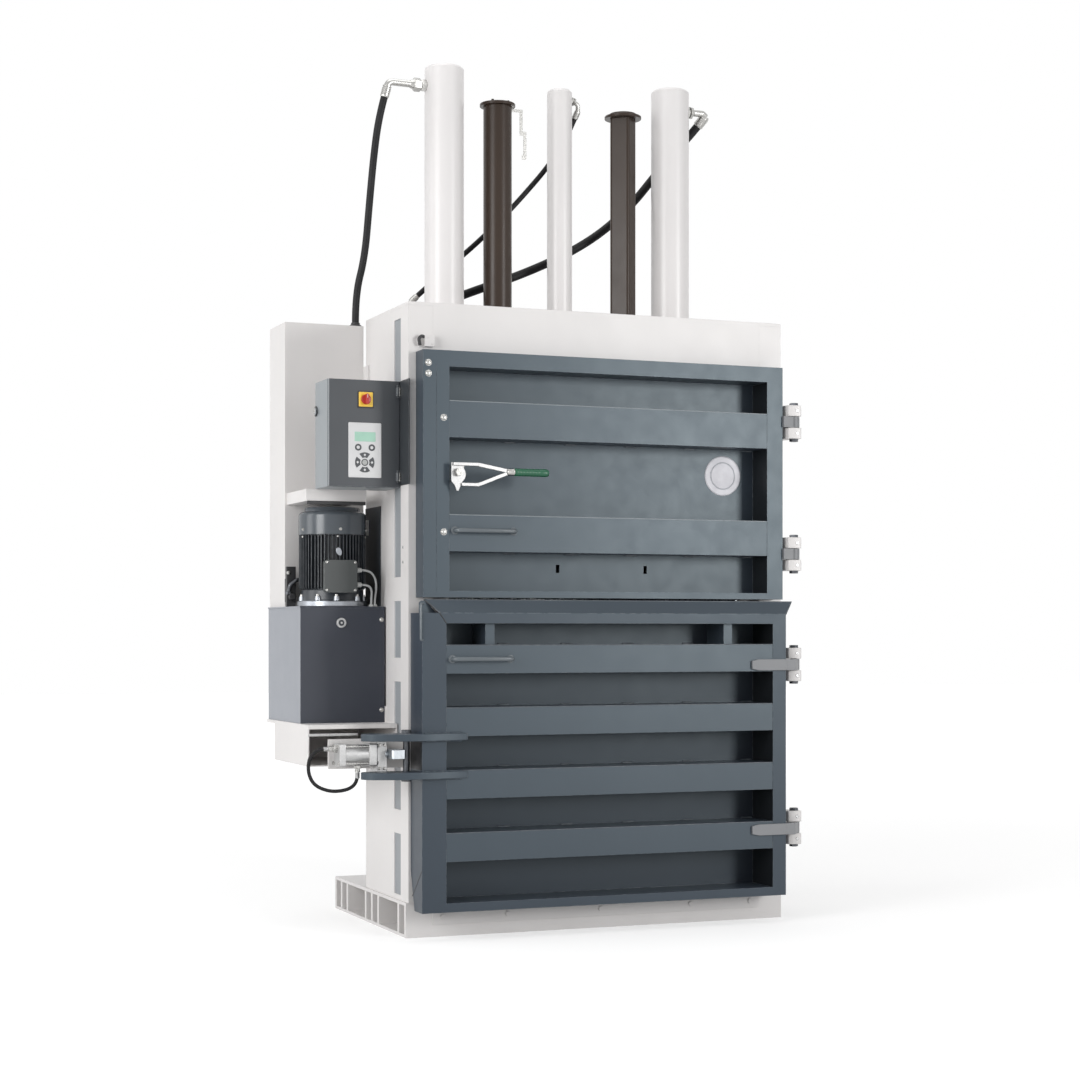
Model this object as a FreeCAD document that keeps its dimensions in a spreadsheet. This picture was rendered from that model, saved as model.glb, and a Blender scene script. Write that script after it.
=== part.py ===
# Upright recycling baler: a press chamber behind two ribbed doors, a hydraulic
# press plate on three cylinders, and the power pack and controls on the left side.
# Frame: origin at the centre of the base's underside, +X to the door hinges,
# +Y to the back, +Z up.  All lengths are millimetres.

import FreeCAD, Part
import math
import os
from types import SimpleNamespace

import Sketcher
from FreeCAD import Placement, Rotation, Vector

doc = FreeCAD.newDocument("Baler")
sheet = doc.addObject("Spreadsheet::Sheet", "Dims")


class Size:
    """A length that carries its value and the sheet formula that gives it."""

    def __init__(self, value, text):
        self.value = value
        self.text = text

    def __add__(self, other):
        other = as_size(other)
        return Size(self.value + other.value, f"({self.text} + {other.text})")

    def __radd__(self, other):
        return as_size(other) + self

    def __sub__(self, other):
        other = as_size(other)
        return Size(self.value - other.value, f"({self.text} - {other.text})")

    def __rsub__(self, other):
        return as_size(other) - self

    def __mul__(self, other):
        other = as_size(other)
        return Size(self.value * other.value, f"({self.text} * {other.text})")

    def __rmul__(self, other):
        return as_size(other) * self

    def __truediv__(self, other):
        other = as_size(other)
        return Size(self.value / other.value, f"({self.text} / {other.text})")

    def __neg__(self):
        return Size(-self.value, f"(0 - {self.text})")

    def __float__(self):
        return float(self.value)


def as_size(number):
    """A plain number as a Size, so that both kinds can be mixed."""
    if isinstance(number, Size):
        return number
    return Size(float(number), repr(float(number)))


def bind(obj, path, size):
    """Tie one property of an object to its formula in the sheet."""
    obj.setExpression(path, as_size(size).text)


def fill_sheet(table):
    """Write the driving sizes into the sheet and hand them back by name; a size
    may stand at an offset from one before it."""
    sizes = SimpleNamespace()
    for row, (alias, value, meaning) in enumerate(table, start=1):
        cell = str(value)
        if isinstance(value, tuple):
            parent, offset = value
            cell = f"={parent} + {offset}"
            value = getattr(sizes, parent).value + offset
        sheet.set(f"A{row}", meaning)
        sheet.set(f"B{row}", cell)
        sheet.setAlias(f"B{row}", alias)
        setattr(sizes, alias, Size(float(value), f"Dims.{alias}"))
    doc.recompute()
    return sizes


# ------------------------------------------------------------------ sizes
S = fill_sheet([
    # base, columns, press chamber and crosshead
    ("frame_width", 1542, "over the outsides of the two columns"),
    ("base_depth", 918, "front to back"),
    ("base_setback", 9, "base front behind the column fronts"),
    ("base_overhang", 7, "base end beyond each column"),
    ("base_height", 130, "underside to top"),
    ("base_skin", 12, "floor and roof plates of the base"),
    ("fork_gap", 228, "clear width of each fork pocket"),
    ("beam_gap", 60, "clear width of the narrow cells of the base"),
    ("sill_low", 45, "underside of the front cover strip"),
    ("sill_high", 100, "top of the front cover strip"),
    ("sill_thick", 5, "cover strip plate"),
    ("post_width", 95, "front face of a column"),
    ("post_step", 46, "depth of the narrow front part of a column"),
    ("column_width", 161, "column behind its step"),
    ("column_depth", 526, "column front to back"),
    ("column_wall", 8, "column plate"),
    ("frame_top", 2340, "top of the frame above the floor"),
    ("slot_front", 91, "front edge of the column slots"),
    ("slot_width", 78, "column slots, front to back"),
    ("liner_wall", 10, "chamber liner plate"),
    ("liner_back", 845, "inner face of the chamber's back"),
    ("liner_front", 56, "front edge of the chamber liner"),
    ("floor_thick", 40, "grooved chamber floor"),
    ("strap_groove", 36, "width of a strapping groove"),
    ("strap_depth", 15, "depth of a strapping groove"),
    ("strap_pitch", 250, "spacing of the strapping grooves"),
    ("crosshead_plate", 12, "crosshead plate thickness"),
    ("crosshead_depth", 66, "clear height between the crosshead plates"),
    ("header_low", ("frame_top", -177), "underside of the front header panel"),
    ("header_thick", 8, "header panel plate"),
    # press drive
    ("drive_row", 415, "cylinder axes behind the column fronts"),
    ("outer_pitch", 487, "outer cylinder axes from the middle"),
    ("guide_pitch", 270, "guide axes from the middle"),
    ("guide_row", 400, "guide axes behind the column fronts"),
    ("barrel_radius", 77, "outer cylinder barrels"),
    ("barrel_wall", 13, "wall of the outer barrels"),
    ("slim_radius", 50, "middle cylinder barrel"),
    ("slim_wall", 10, "wall of the middle barrel"),
    ("barrel_top", ("frame_top", 988), "tops of the outer barrels"),
    ("slim_top", ("frame_top", 945), "top of the middle barrel"),
    ("dome", 9, "rise and rounding of a barrel's domed end"),
    ("gland_length", 70, "rod gland at the foot of a barrel"),
    ("rod_radius", 35, "outer piston rods"),
    ("slim_rod", 22, "middle piston rod"),
    ("slide_gap", 0.4, "gap round pistons, rods and guides"),
    ("piston_length", 70, "piston height"),
    ("guide_radius", 56, "round guide tube"),
    ("guide_square", 84, "square guide tube over its flats"),
    ("guide_wall", 6, "guide tube wall"),
    ("guide_round", 12, "corner rounding of the square guide"),
    ("guide_top", ("frame_top", 850), "underside of the guide caps"),
    ("cap_thick", 36, "guide cap"),
    ("platen_height", 130, "press plate, bottom to top"),
    ("platen_low", ("frame_top", -240), "underside of the raised press plate"),
    ("platen_gap", 6, "press plate to the chamber walls"),
    ("platen_front", 62, "press plate front behind the column fronts"),
    ("platen_skin", 12, "plates of the press plate"),
    # doors
    ("door_plate", 5, "door sheet metal"),
    ("sheet_face", 34, "door sheet behind the column fronts"),
    ("upper_left", 28, "left edge of the upper door"),
    ("upper_right", ("frame_width", -37), "right edge of the upper door"),
    ("upper_low", 1252, "underside of the upper door"),
    ("upper_high", ("frame_top", -185), "top of the upper door"),
    ("upper_front", 86, "upper door front before the columns"),
    ("recess_left", 129, "left side of the upper door's recess"),
    ("recess_right", ("frame_width", -105), "right side of both doors' recesses"),
    ("recess_low", 1276, "bottom of the upper door's recess"),
    ("recess_high", ("frame_top", -244), "top of the upper door's recess"),
    ("rib_height", 135, "upper door ribs"),
    ("rib_high", 1838, "underside of the upper rib"),
    ("rib_low", 1421, "underside of the lower rib"),
    ("lower_left", 8, "left edge of the lower door"),
    ("lower_right", ("frame_width", -48), "right edge of the lower door"),
    ("lower_low", 107, "underside of the lower door"),
    ("lower_high", 1195, "top of the lower door's frame"),
    ("lower_front", 133, "lower door front before the columns"),
    ("lower_recess", 101, "left side of the lower door's recess"),
    ("lower_bay_low", 140, "bottom of the lower door's recess"),
    ("lower_bay_high", 1157, "top of the lower door's recess"),
    ("rail_height", 105, "lower door rails"),
    ("rail_first", 290, "underside of the lowest rail"),
    ("rail_pitch", 228, "spacing of the lower door's rails"),
    ("door_gap", 2, "door frame to the column fronts"),
    ("lip_left", 76, "left end of the lip's lower edge"),
    ("lip_flare", 48, "how far the lip spreads at each end"),
    ("lip_rise", 50, "height of the sloped lip"),
    ("lip_lean", 40, "how far the lip leans back"),
    ("hook_width", 36, "brackets under the lip"),
    ("hook_reach", 110, "depth of those brackets"),
    # hinges
    ("hinge_out", ("frame_width", 18), "door hinge axis from the frame's left side"),
    ("hinge_fore", 75, "door hinge axis before the column fronts"),
    ("pin_radius", 14, "door hinge pins"),
    ("pin_gap", 0.05, "gap round hinge pins"),
    ("hinge_height", 130, "a whole door hinge"),
    ("leaf_height", 43, "door leaf of a hinge"),
    ("leaf_gap", 1, "gap above and below a leaf"),
    ("boss_radius", 26, "rounded end of a leaf"),
    ("hinge_top", ("frame_top", -395), "middle of the highest hinge"),
    ("hinge_upper", 1430, "middle of the second hinge"),
    ("hinge_lower", 999, "middle of the third hinge"),
    ("hinge_foot", 363, "middle of the lowest hinge"),
    # power pack
    ("tank_setback", 267, "tank front behind the column fronts"),
    ("tank_reach", 335, "tank's far side from the left column"),
    ("tank_gap", 6, "tank to the left column"),
    ("tank_depth", 468, "tank, front to back"),
    ("tank_low", 784, "underside of the tank"),
    ("tank_high", 1216, "top edge of the tank"),
    ("lid_thick", 6, "tank lid"),
    ("console_setback", 130, "console front behind the column fronts"),
    ("console_reach", 343, "console's far side from the left column"),
    ("console_depth", 482, "console, front to back"),
    ("console_low", 631, "underside of the console"),
    ("console_high", 772, "underside of the console's thick roof"),
    ("motor_out", 172, "motor axis from the left column"),
    ("motor_row", 405, "motor axis behind the column fronts"),
    ("motor_radius", 128, "over the motor's fins"),
    ("motor_foot", 22, "motor flange, both steps"),
    ("motor_body", 250, "finned length of the motor"),
    ("flange_radius", 134, "motor flange"),
    ("fin_height", 16, "motor fins"),
    ("fin_thick", 4, "motor fins"),
    ("shaft_radius", 14, "motor shaft"),
    ("cowl_height", 105, "fan cowl"),
    ("terminal_side", 78, "terminal box, motor axis to its left side"),
    ("terminal_width", 129, "terminal box"),
    ("terminal_height", 123, "terminal box"),
    ("terminal_rise", 29, "terminal box above the motor's fins' foot"),
    ("terminal_stand", 8, "terminal box seat before the fins"),
    ("terminal_depth", 29, "terminal box"),
    ("cover_setback", 540, "hose cover front behind the column fronts"),
    ("cover_depth", 228, "hose cover, front to back"),
    ("cover_reach", 321, "hose cover's far side from the left column"),
    ("cover_top", ("frame_top", -20), "top of the hose cover"),
    # control cabinet
    ("cabinet_reach", 277, "cabinet's far side from the left column"),
    ("cabinet_setback", 88, "cabinet door face behind the column fronts"),
    ("cabinet_depth", 179, "cabinet, door face to back"),
    ("cabinet_door", 15, "depth of the cabinet door tray"),
    ("cabinet_low", 1660, "underside of the cabinet"),
    ("cabinet_high", ("frame_top", -285), "top of the cabinet"),
    ("panel_thick", 4, "panel between cabinet and column"),
    ("panel_fore", 106, "how far that panel runs forward of the cabinet"),
    # door lock and hoses
    ("lock_pin_out", 28, "lock pin from the frame's left side"),
    ("lock_pin_fore", 60, "lock pin before the column fronts"),
    ("lock_pin", 12, "lock pin radius"),
    ("lock_arm", 25, "thickness of the lock arms"),
    ("lock_line", 27, "lock cylinder axis before the column fronts"),
    ("lock_radius", 42, "lock cylinder"),
    ("claw_rod", 12, "lock cylinder's rod"),
    ("hose_thick", 28, "left hose, outside diameter"),
    ("hose_thin", 21, "middle hose, outside diameter"),
    ("hose_fat", 34, "right hose, outside diameter"),
    ("lock_hose", 13, "lock hose, outside diameter"),
    ("cable_thick", 8, "motor cables, outside diameter"),
])


# ------------------------------------------------------------------ tools
UP = (0, 0, 1)
RIGHT = (1, 0, 0)
LEFT = (-1, 0, 0)
FORWARD = (0, -1, 0)
counter = [0]
nodes = []


def fresh(stem):
    """A document name that no other feature has."""
    counter[0] += 1
    return f"{stem}{counter[0]:03d}"


def set_place(obj, at, axis=UP, spin=0):
    """Stand an object at a point, with its own +Z along the axis."""
    turn = Rotation(Vector(*UP), Vector(*axis)) * Rotation(Vector(*UP), spin)
    obj.Placement = Placement(Vector(*(float(v) for v in at)), turn)
    for letter, value in zip("xyz", at):
        bind(obj, f"Placement.Base.{letter}", value)
    return obj


def block(low, high):
    """A box between two opposite corners."""
    box = doc.addObject("Part::Box", fresh("Block"))
    for prop, a, b in zip(("Length", "Width", "Height"), low, high):
        bind(box, prop, as_size(b) - a)
    return set_place(box, low)


def rod(radius, length, at, axis=UP):
    """A round bar that starts at a point and runs along the axis."""
    bar = doc.addObject("Part::Cylinder", fresh("Rod"))
    bind(bar, "Radius", radius)
    bind(bar, "Height", length)
    return set_place(bar, at, axis)


def prism(sides, radius, height, at, axis=UP):
    """A regular prism with the section of a round bar of the given radius."""
    bar = doc.addObject("Part::Prism", fresh("Prism"))
    bar.Polygon = sides
    even = math.sqrt(2 * math.pi / (sides * math.sin(2 * math.pi / sides)))
    bind(bar, "Circumradius", as_size(radius) * even)
    bind(bar, "Height", height)
    return set_place(bar, at, axis)


def hexagon(across, height, at, axis=UP):
    """A hexagonal head or nut, given across its flats."""
    head = doc.addObject("Part::Prism", fresh("Hex"))
    head.Polygon = 6
    bind(head, "Circumradius", as_size(across) / math.sqrt(3))
    bind(head, "Height", height)
    return set_place(head, at, axis)


def cut(base, tools):
    """Take the tools out of the base."""
    tool = tools[0] if len(tools) == 1 else fuse(tools)
    result = doc.addObject("Part::Cut", fresh("Cut"))
    result.Base = base
    result.Tool = tool
    return result


def fuse(pieces):
    """Weld several shapes into one."""
    result = doc.addObject("Part::MultiFuse", fresh("Weld"))
    result.Shapes = pieces
    result.Refine = True
    return result


def group(pieces):
    """Keep several separate solids together as one object."""
    result = doc.addObject("Part::Compound", fresh("Group"))
    result.Links = pieces
    return result


def plane_of(body, role):
    """One origin plane of a body."""
    return next(f for f in body.Origin.OriginFeatures if f.Role == role)


def hold_point(sketch, name, geometry, end, point):
    """Fix one sketch point by its two distances from the sketch origin."""
    for kind, letter, value in zip(("DistanceX", "DistanceY"), "xy", point):
        index = sketch.addConstraint(
            Sketcher.Constraint(kind, -1, 1, geometry, end, float(value)))
        sketch.renameConstraint(index, name + letter)
        bind(sketch, f"Constraints.{name}{letter}", value)


def draw_polygon(sketch, tag, points):
    """A closed outline through the points, each held to the sheet."""
    spots = [Vector(float(x), float(y), 0) for x, y in points]
    count = len(spots)
    first = sketch.GeometryCount
    for i, spot in enumerate(spots):
        sketch.addGeometry(Part.LineSegment(spot, spots[(i + 1) % count]), False)
    for i in range(count):
        sketch.addConstraint(Sketcher.Constraint(
            "Coincident", first + i, 2, first + (i + 1) % count, 1))
    for i, point in enumerate(points):
        hold_point(sketch, f"{tag}p{i}", first + i, 1, point)


def draw_circle(sketch, tag, centre, radius):
    """A full circle held to the sheet."""
    number = sketch.addGeometry(Part.Circle(
        Vector(float(centre[0]), float(centre[1]), 0), Vector(0, 0, 1),
        float(radius)), False)
    hold_point(sketch, f"{tag}c", number, 3, centre)
    index = sketch.addConstraint(
        Sketcher.Constraint("Radius", number, float(radius)))
    sketch.renameConstraint(index, f"{tag}r")
    bind(sketch, f"Constraints.{tag}r", radius)


def sketch_in(body, role, outlines):
    """A sketch on one of a body's own planes; an outline is a list of
    corners, or a circle given as (centre, radius)."""
    sketch = body.newObject("Sketcher::SketchObject", fresh("Sketch"))
    sketch.AttachmentSupport = (plane_of(body, role), [""])
    sketch.MapMode = "FlatFace"
    for number, outline in enumerate(outlines):
        if isinstance(outline, tuple):
            draw_circle(sketch, f"k{number}", outline[0], outline[1])
        else:
            draw_polygon(sketch, f"k{number}", outline)
    return sketch


def extruded(role, outlines, length, at=(0, 0, 0), rounds=()):
    """A body padded from a sketch in the +X, +Y or +Z direction.  rounds
    lists (radius, test) pairs; the test picks edges by their middle point."""
    body = doc.addObject("PartDesign::Body", fresh("Body"))
    sketch = sketch_in(body, role, outlines)
    pad = body.newObject("PartDesign::Pad", fresh("Pad"))
    pad.Profile = sketch
    bind(pad, "Length", length)
    pad.Reversed = role == "XZ_Plane"
    body.Tip = pad
    for radius, wanted in rounds:
        doc.recompute()
        edges = [f"Edge{i}" for i, edge in enumerate(pad.Shape.Edges, start=1)
                 if wanted(edge)]
        fillet = body.newObject("PartDesign::Fillet", fresh("Fillet"))
        fillet.Base = (pad, edges)
        bind(fillet, "Radius", radius)
        body.Tip = fillet
        pad = fillet
    return set_place(body, at)


def turned(outline, at, axis=UP):
    """A body of revolution: the outline is (radius, height) corners."""
    body = doc.addObject("PartDesign::Body", fresh("Body"))
    sketch = sketch_in(body, "XZ_Plane", [outline])
    spin = body.newObject("PartDesign::Revolution", fresh("Turn"))
    spin.Profile = sketch
    spin.ReferenceAxis = (sketch, ["V_Axis"])
    spin.Angle = 360
    body.Tip = spin
    return set_place(body, at, axis)


def node(name, obj):
    """Name a finished piece; its label is also the name of its file."""
    obj.Label = name
    nodes.append(obj)
    return obj


# ------------------------------------------------------------------ datum
left = -S.frame_width / 2
right = S.frame_width / 2
front = -S.base_depth / 2 - S.base_setback
base_top = S.base_height
base_front = -S.base_depth / 2
base_back = S.base_depth / 2


def rect(x0, y0, x1, y1):
    """The four corners of an upright rectangle."""
    return [(x0, y0), (x1, y0), (x1, y1), (x0, y1)]


def mirrored(obj):
    """The same piece on the other side of the middle plane."""
    twin = doc.addObject("Part::Mirroring", fresh("Mirror"))
    twin.Source = obj
    twin.Base = Vector(0, 0, 0)
    twin.Normal = Vector(*RIGHT)
    return twin


# ------------------------------------------------------------------ base
# A flat box of beams that run from side to side, open at both ends; the two
# widest cells are the fork pockets.
base_web = (S.base_depth - 2 * S.fork_gap - 5 * S.beam_gap) / 8
cells = []
cell_front = base_front
for gap in (S.beam_gap, S.fork_gap, S.beam_gap, S.beam_gap, S.fork_gap,
            S.beam_gap, S.beam_gap):
    cell_front = cell_front + base_web
    cells.append(rect(cell_front, S.base_skin, cell_front + gap,
                      S.base_height - S.base_skin))
    cell_front = cell_front + gap
node("base_frame", extruded(
    "YZ_Plane",
    [rect(base_front, 0, base_back, S.base_height)] + cells,
    S.frame_width + 2 * S.base_overhang,
    at=(left - S.base_overhang, 0, 0)))

# A cover strip along the front between the posts, held by five screws.
screw_line = (S.sill_low + S.sill_high) / 2
sill = block(
    (left + S.post_width, base_front - S.sill_thick, S.sill_low),
    (right - S.post_width, base_front, S.sill_high))
screws = []
for share in (-0.413, -0.246, 0, 0.246, 0.413):
    screws.append(hexagon(
        18, 5, (share * S.frame_width, base_front - S.sill_thick, screw_line), FORWARD))
node("base_sill", fuse([sill] + screws))

# ------------------------------------------------------------------ columns
# Folded hollow columns, narrow in front where the doors close and wider behind;
# long slots in the outer face show the inside of the column.
column_top = S.frame_top - S.crosshead_plate


def column_outline(inset):
    """The stepped column section, drawn in from its outside."""
    return [
        (inset, inset),
        (S.post_width - inset, inset),
        (S.post_width - inset, S.post_step + inset),
        (S.column_width - inset, S.post_step + inset),
        (S.column_width - inset, S.column_depth - inset),
        (inset, S.column_depth - inset)]


column_shell = extruded(
    "XY_Plane", [column_outline(as_size(0)), column_outline(S.column_wall)],
    column_top - base_top, at=(left, front, base_top))
slots = []
for low, high in ((149, 376), (465, 941), (1030, 1241), (1330, 1930),
                  (2019, 2290)):
    slots.append(block(
        (left - 1, front + S.slot_front, low),
        (left + S.column_wall + 1, front + S.slot_front + S.slot_width, high)))
column_left = cut(column_shell, slots)
node("column_left", column_left)
node("column_right", mirrored(column_left))

# ------------------------------------------------------------------ chamber
# The liner is a U of three plates: two sides and the back.
liner_out = S.frame_width / 2 - S.column_width
liner_in = liner_out - S.liner_wall
back_in = front + S.liner_back
back_out = back_in + S.liner_wall
crosshead_low = S.frame_top - 2 * S.crosshead_plate - S.crosshead_depth
liner_top = crosshead_low
node("chamber_liner", extruded(
    "XY_Plane",
    [[(-liner_out, front + S.liner_front), (-liner_in, front + S.liner_front),
      (-liner_in, back_in), (liner_in, back_in),
      (liner_in, front + S.liner_front), (liner_out, front + S.liner_front),
      (liner_out, back_out), (-liner_out, back_out)]],
    liner_top - base_top, at=(0, 0, base_top)))


def grooved(half, low, high, groove_from, groove_to):
    """A plate outline with five strapping grooves in one of its faces."""
    line = [(-half, groove_from)]
    for step in (-2, -1, 0, 1, 2):
        edge = step * S.strap_pitch - S.strap_groove / 2
        line += [(edge, groove_from), (edge, groove_to),
                 (edge + S.strap_groove, groove_to),
                 (edge + S.strap_groove, groove_from)]
    far = high if groove_from is low else low
    return line + [(half, groove_from), (half, far), (-half, far)]


floor_top = base_top + S.floor_thick
node("chamber_floor", extruded(
    "XZ_Plane",
    [grooved(liner_in, base_top, floor_top, floor_top,
             floor_top - S.strap_depth)],
    S.liner_back - S.liner_front, at=(0, front + S.liner_front, 0)))

# ------------------------------------------------------------------ crosshead
# Two plates with a header panel in front and a beam at the back, welded.
drive_y = front + S.drive_row
guide_y = front + S.guide_row
strip_x = -S.guide_pitch + S.guide_radius + 26
bore_sides = 24              # hidden bores, pistons and rods have flat faces
throat_sides = 16


def guide_bore(low, high, round_hole):
    """Openings for both guides and the switch strip through the crosshead."""
    half = S.guide_square / 2 + S.slide_gap
    box = block((-half, -half, low), (half, half, high))
    box.Placement.Rotation = Rotation(Vector(*UP), 45)
    bind(box, "Placement.Base.x", S.guide_pitch)
    bind(box, "Placement.Base.y", guide_y - half * math.sqrt(2))
    slit = block((strip_x - 4, guide_y - 6, low), (strip_x + 44, guide_y + 9, high))
    return [round_hole(S.guide_radius + S.slide_gap, high - low,
                       (-S.guide_pitch, guide_y, low)), box, slit]


def flat_sided(radius, height, at):
    """A hidden round hole or bar, drawn with flat faces."""
    return prism(bore_sides, radius, height, at)


middle_x = as_size(0)


def barrel_bores(low, high):
    """Holes for the cylinder barrels."""
    bores = []
    for x, radius in ((-S.outer_pitch, S.barrel_radius), (middle_x, S.slim_radius),
                      (S.outer_pitch, S.barrel_radius)):
        bores.append(rod(radius, high - low, (x, drive_y, low)))
    return bores


def rod_bores(low, high):
    """Holes that the piston rods pass through."""
    bores = []
    for x, radius in ((-S.outer_pitch, S.rod_radius), (middle_x, S.slim_rod),
                      (S.outer_pitch, S.rod_radius)):
        bores.append(prism(16, radius + 4, high - low, (x, drive_y, low)))
    return bores


lower_plate_top = crosshead_low + S.crosshead_plate
top_plate = cut(
    block((left, front, column_top), (right, front + S.column_depth, S.frame_top)),
    barrel_bores(column_top - 1, S.frame_top + 1)
    + guide_bore(column_top - 1, S.frame_top + 1, rod))
low_plate = cut(
    block((-liner_out, front + S.post_step, crosshead_low),
          (liner_out, front + S.column_depth, lower_plate_top)),
    rod_bores(crosshead_low - 1, lower_plate_top + 1)
    + guide_bore(crosshead_low - 1, lower_plate_top + 1, flat_sided))
back_beam = block(
    (-liner_out, front + S.column_depth - S.crosshead_plate, lower_plate_top),
    (liner_out, front + S.column_depth, column_top))
header = block(
    (left + S.post_width, front, S.header_low),
    (right - S.post_width, front + S.header_thick, column_top))
shelf = block(
    (left + S.post_width, front + S.header_thick, crosshead_low),
    (right - S.post_width, front + S.post_step, lower_plate_top))
node("crosshead", fuse([top_plate, low_plate, back_beam, header, shelf]))

# ------------------------------------------------------------------ cylinders
# Each barrel is closed by a domed end above and a rod gland below, and hangs
# from the lower crosshead plate.


def barrel(x, radius, wall, rod_size, top):
    """One closed cylinder barrel with its bore and rod throat."""
    height = top - lower_plate_top
    outside = turned(
        [(0, 0), (radius, 0), (radius, height - S.dome), (radius - S.dome, height),
         (0, height)],
        (x, drive_y, lower_plate_top))
    bore = prism(bore_sides, radius - wall, height - 2 * wall - S.gland_length,
                 (x, drive_y, lower_plate_top + S.gland_length))
    throat = prism(throat_sides, rod_size + S.slide_gap, S.gland_length + 2,
                   (x, drive_y, lower_plate_top - 1))
    return cut(outside, [bore, throat])


node("barrels", group([
    barrel(side * S.outer_pitch, S.barrel_radius, S.barrel_wall, S.rod_radius,
           S.barrel_top) for side in (-1, 1)]
    + [barrel(middle_x, S.slim_radius, S.slim_wall, S.slim_rod,
              S.slim_top)]))

# ------------------------------------------------------------------ press plate
# A welded box plate: cells run from front to back, and the underside has the
# strapping grooves that match the chamber floor.
platen_half = liner_in - S.platen_gap
platen_top = S.platen_low + S.platen_height
groove_roof = S.platen_low + S.strap_depth
cell_roof = platen_top - S.platen_skin
cell_floor = groove_roof + S.platen_skin
platen_cells = []
for step in (-2, -1, 0, 1):
    start = step * S.strap_pitch + S.platen_skin / 2
    platen_cells.append(rect(start, cell_floor,
                             start + S.strap_pitch - S.platen_skin, cell_roof))
node("platen", extruded(
    "XZ_Plane",
    [grooved(platen_half, S.platen_low, platen_top, S.platen_low, groove_roof)]
    + platen_cells,
    S.liner_back - S.platen_gap - S.platen_front,
    at=(0, front + S.platen_front, 0)))


def piston_rod(x, radius, bore, top, wall):
    """A rod with its piston, standing on the press plate."""
    reach = top - 2 * wall - S.slide_gap - 2 - platen_top
    return fuse([
        prism(bore_sides, radius, reach, (x, drive_y, platen_top)),
        prism(bore_sides, bore - S.slide_gap, S.piston_length,
              (x, drive_y, platen_top + reach - S.piston_length))])


node("piston_rods", group([
    piston_rod(side * S.outer_pitch, S.rod_radius,
               S.barrel_radius - S.barrel_wall, S.barrel_top, S.barrel_wall)
    for side in (-1, 1)]
    + [piston_rod(middle_x, S.slim_rod, S.slim_radius - S.slim_wall,
                  S.slim_top, S.slim_wall)]))

# Two guide tubes, one round and one square set on its corner, run up through
# the crosshead and keep the press plate level.
guide_length = S.guide_top - platen_top
square_half = S.guide_square / 2
round_foot = (-S.guide_pitch, guide_y, platen_top)
round_guide = cut(
    rod(S.guide_radius, guide_length, round_foot),
    [flat_sided(S.guide_radius - S.guide_wall, guide_length, round_foot)])


def along_z(edge):
    """True for the long upright edges."""
    box = edge.BoundBox
    return box.ZLength > 5 * max(box.XLength, box.YLength)


square_guide = extruded(
    "XY_Plane", [rect(-square_half, -square_half, square_half, square_half)],
    guide_length, at=(S.guide_pitch, guide_y, platen_top),
    rounds=[(S.guide_round, along_z)])
square_guide.Placement.Rotation = Rotation(Vector(*UP), 45)
node("guide_tubes", group([round_guide, square_guide]))

# Each guide is closed by a cap wider than the tube; the square one's cap has a
# turned collar.
round_cap = prism(36, S.guide_radius + 14, S.cap_thick,
                  (-S.guide_pitch, guide_y, S.guide_top))
collar_height = S.cap_thick / 3
square_cap = fuse([
    prism(36, S.guide_radius + 18, collar_height,
          (S.guide_pitch, guide_y, S.guide_top)),
    prism(36, S.guide_radius + 6, S.cap_thick - collar_height,
          (S.guide_pitch, guide_y, S.guide_top + collar_height))])
node("guide_caps", group([round_cap, square_cap]))

# A bent strip under the round guide's cap trips the stroke switches.
flag = extruded(
    "XZ_Plane",
    [[(0, 0), (24, 0), (24, -86), (40, -86), (40, -196), (22, -196),
      (22, -178), (28, -178), (28, -102), (12, -102), (12, -12), (0, -12)]],
    3, at=(strip_x, guide_y, S.guide_top))
arm = block((strip_x - 25, guide_y, S.guide_top - 12), (strip_x, guide_y + 3, S.guide_top))
node("switch_strip", fuse([arm, flag]))

# ------------------------------------------------------------------ doors
def door_shell(low, high, opening_low, opening_high, depth, slots):
    """A pressed steel door: a front face ring, an outer skirt back to the
    columns, and a deep pan whose floor is the door sheet."""
    x0, z0 = low
    x1, z1 = high
    u0, w0 = opening_low
    u1, w1 = opening_high
    t = S.door_plate
    ring = extruded("XZ_Plane", [rect(x0, z0, x1, z1), rect(u0, w0, u1, w1)],
                    t, at=(0, front - depth, 0))
    skirt = extruded("XZ_Plane",
                     [rect(x0, z0, x1, z1), rect(x0 + t, z0 + t, x1 - t, z1 - t)],
                     depth - S.door_gap, at=(0, front - depth, 0))
    pan = extruded("XZ_Plane",
                   [rect(u0 - t, w0 - t, u1 + t, w1 + t), rect(u0, w0, u1, w1)],
                   depth + S.sheet_face + t, at=(0, front - depth, 0))
    sheet_plate = extruded("XZ_Plane", [rect(u0, w0, u1, w1)] + slots,
                           t, at=(0, front + S.sheet_face, 0))
    return [ring, skirt, pan, sheet_plate]


def hat_rib(x0, x1, z0, z1, depth):
    """A pressed rib: a channel whose back is open to the door sheet."""
    t = S.door_plate
    return extruded(
        "YZ_Plane",
        [[(-depth, z0), (S.sheet_face, z0), (S.sheet_face, z0 + t),
          (t - depth, z0 + t), (t - depth, z1 - t), (S.sheet_face, z1 - t),
          (S.sheet_face, z1), (-depth, z1)]],
        x1 - x0, at=(x0, front, 0))


# Upper door, with two small slots in its sheet.
slot_holes = [rect(left + x, 1350, left + x + 14, 1380) for x in (599, 964)]
node("upper_door_shell", fuse(door_shell(
    (left + S.upper_left, S.upper_low), (left + S.upper_right, S.upper_high),
    (left + S.recess_left, S.recess_low), (left + S.recess_right, S.recess_high),
    S.upper_front, slot_holes)))
rib_setback = 1
node("upper_door_ribs", group([
    hat_rib(left + S.recess_left, left + S.recess_right, low, low + S.rib_height,
            S.upper_front - rib_setback) for low in (S.rib_low, S.rib_high)]))

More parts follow.
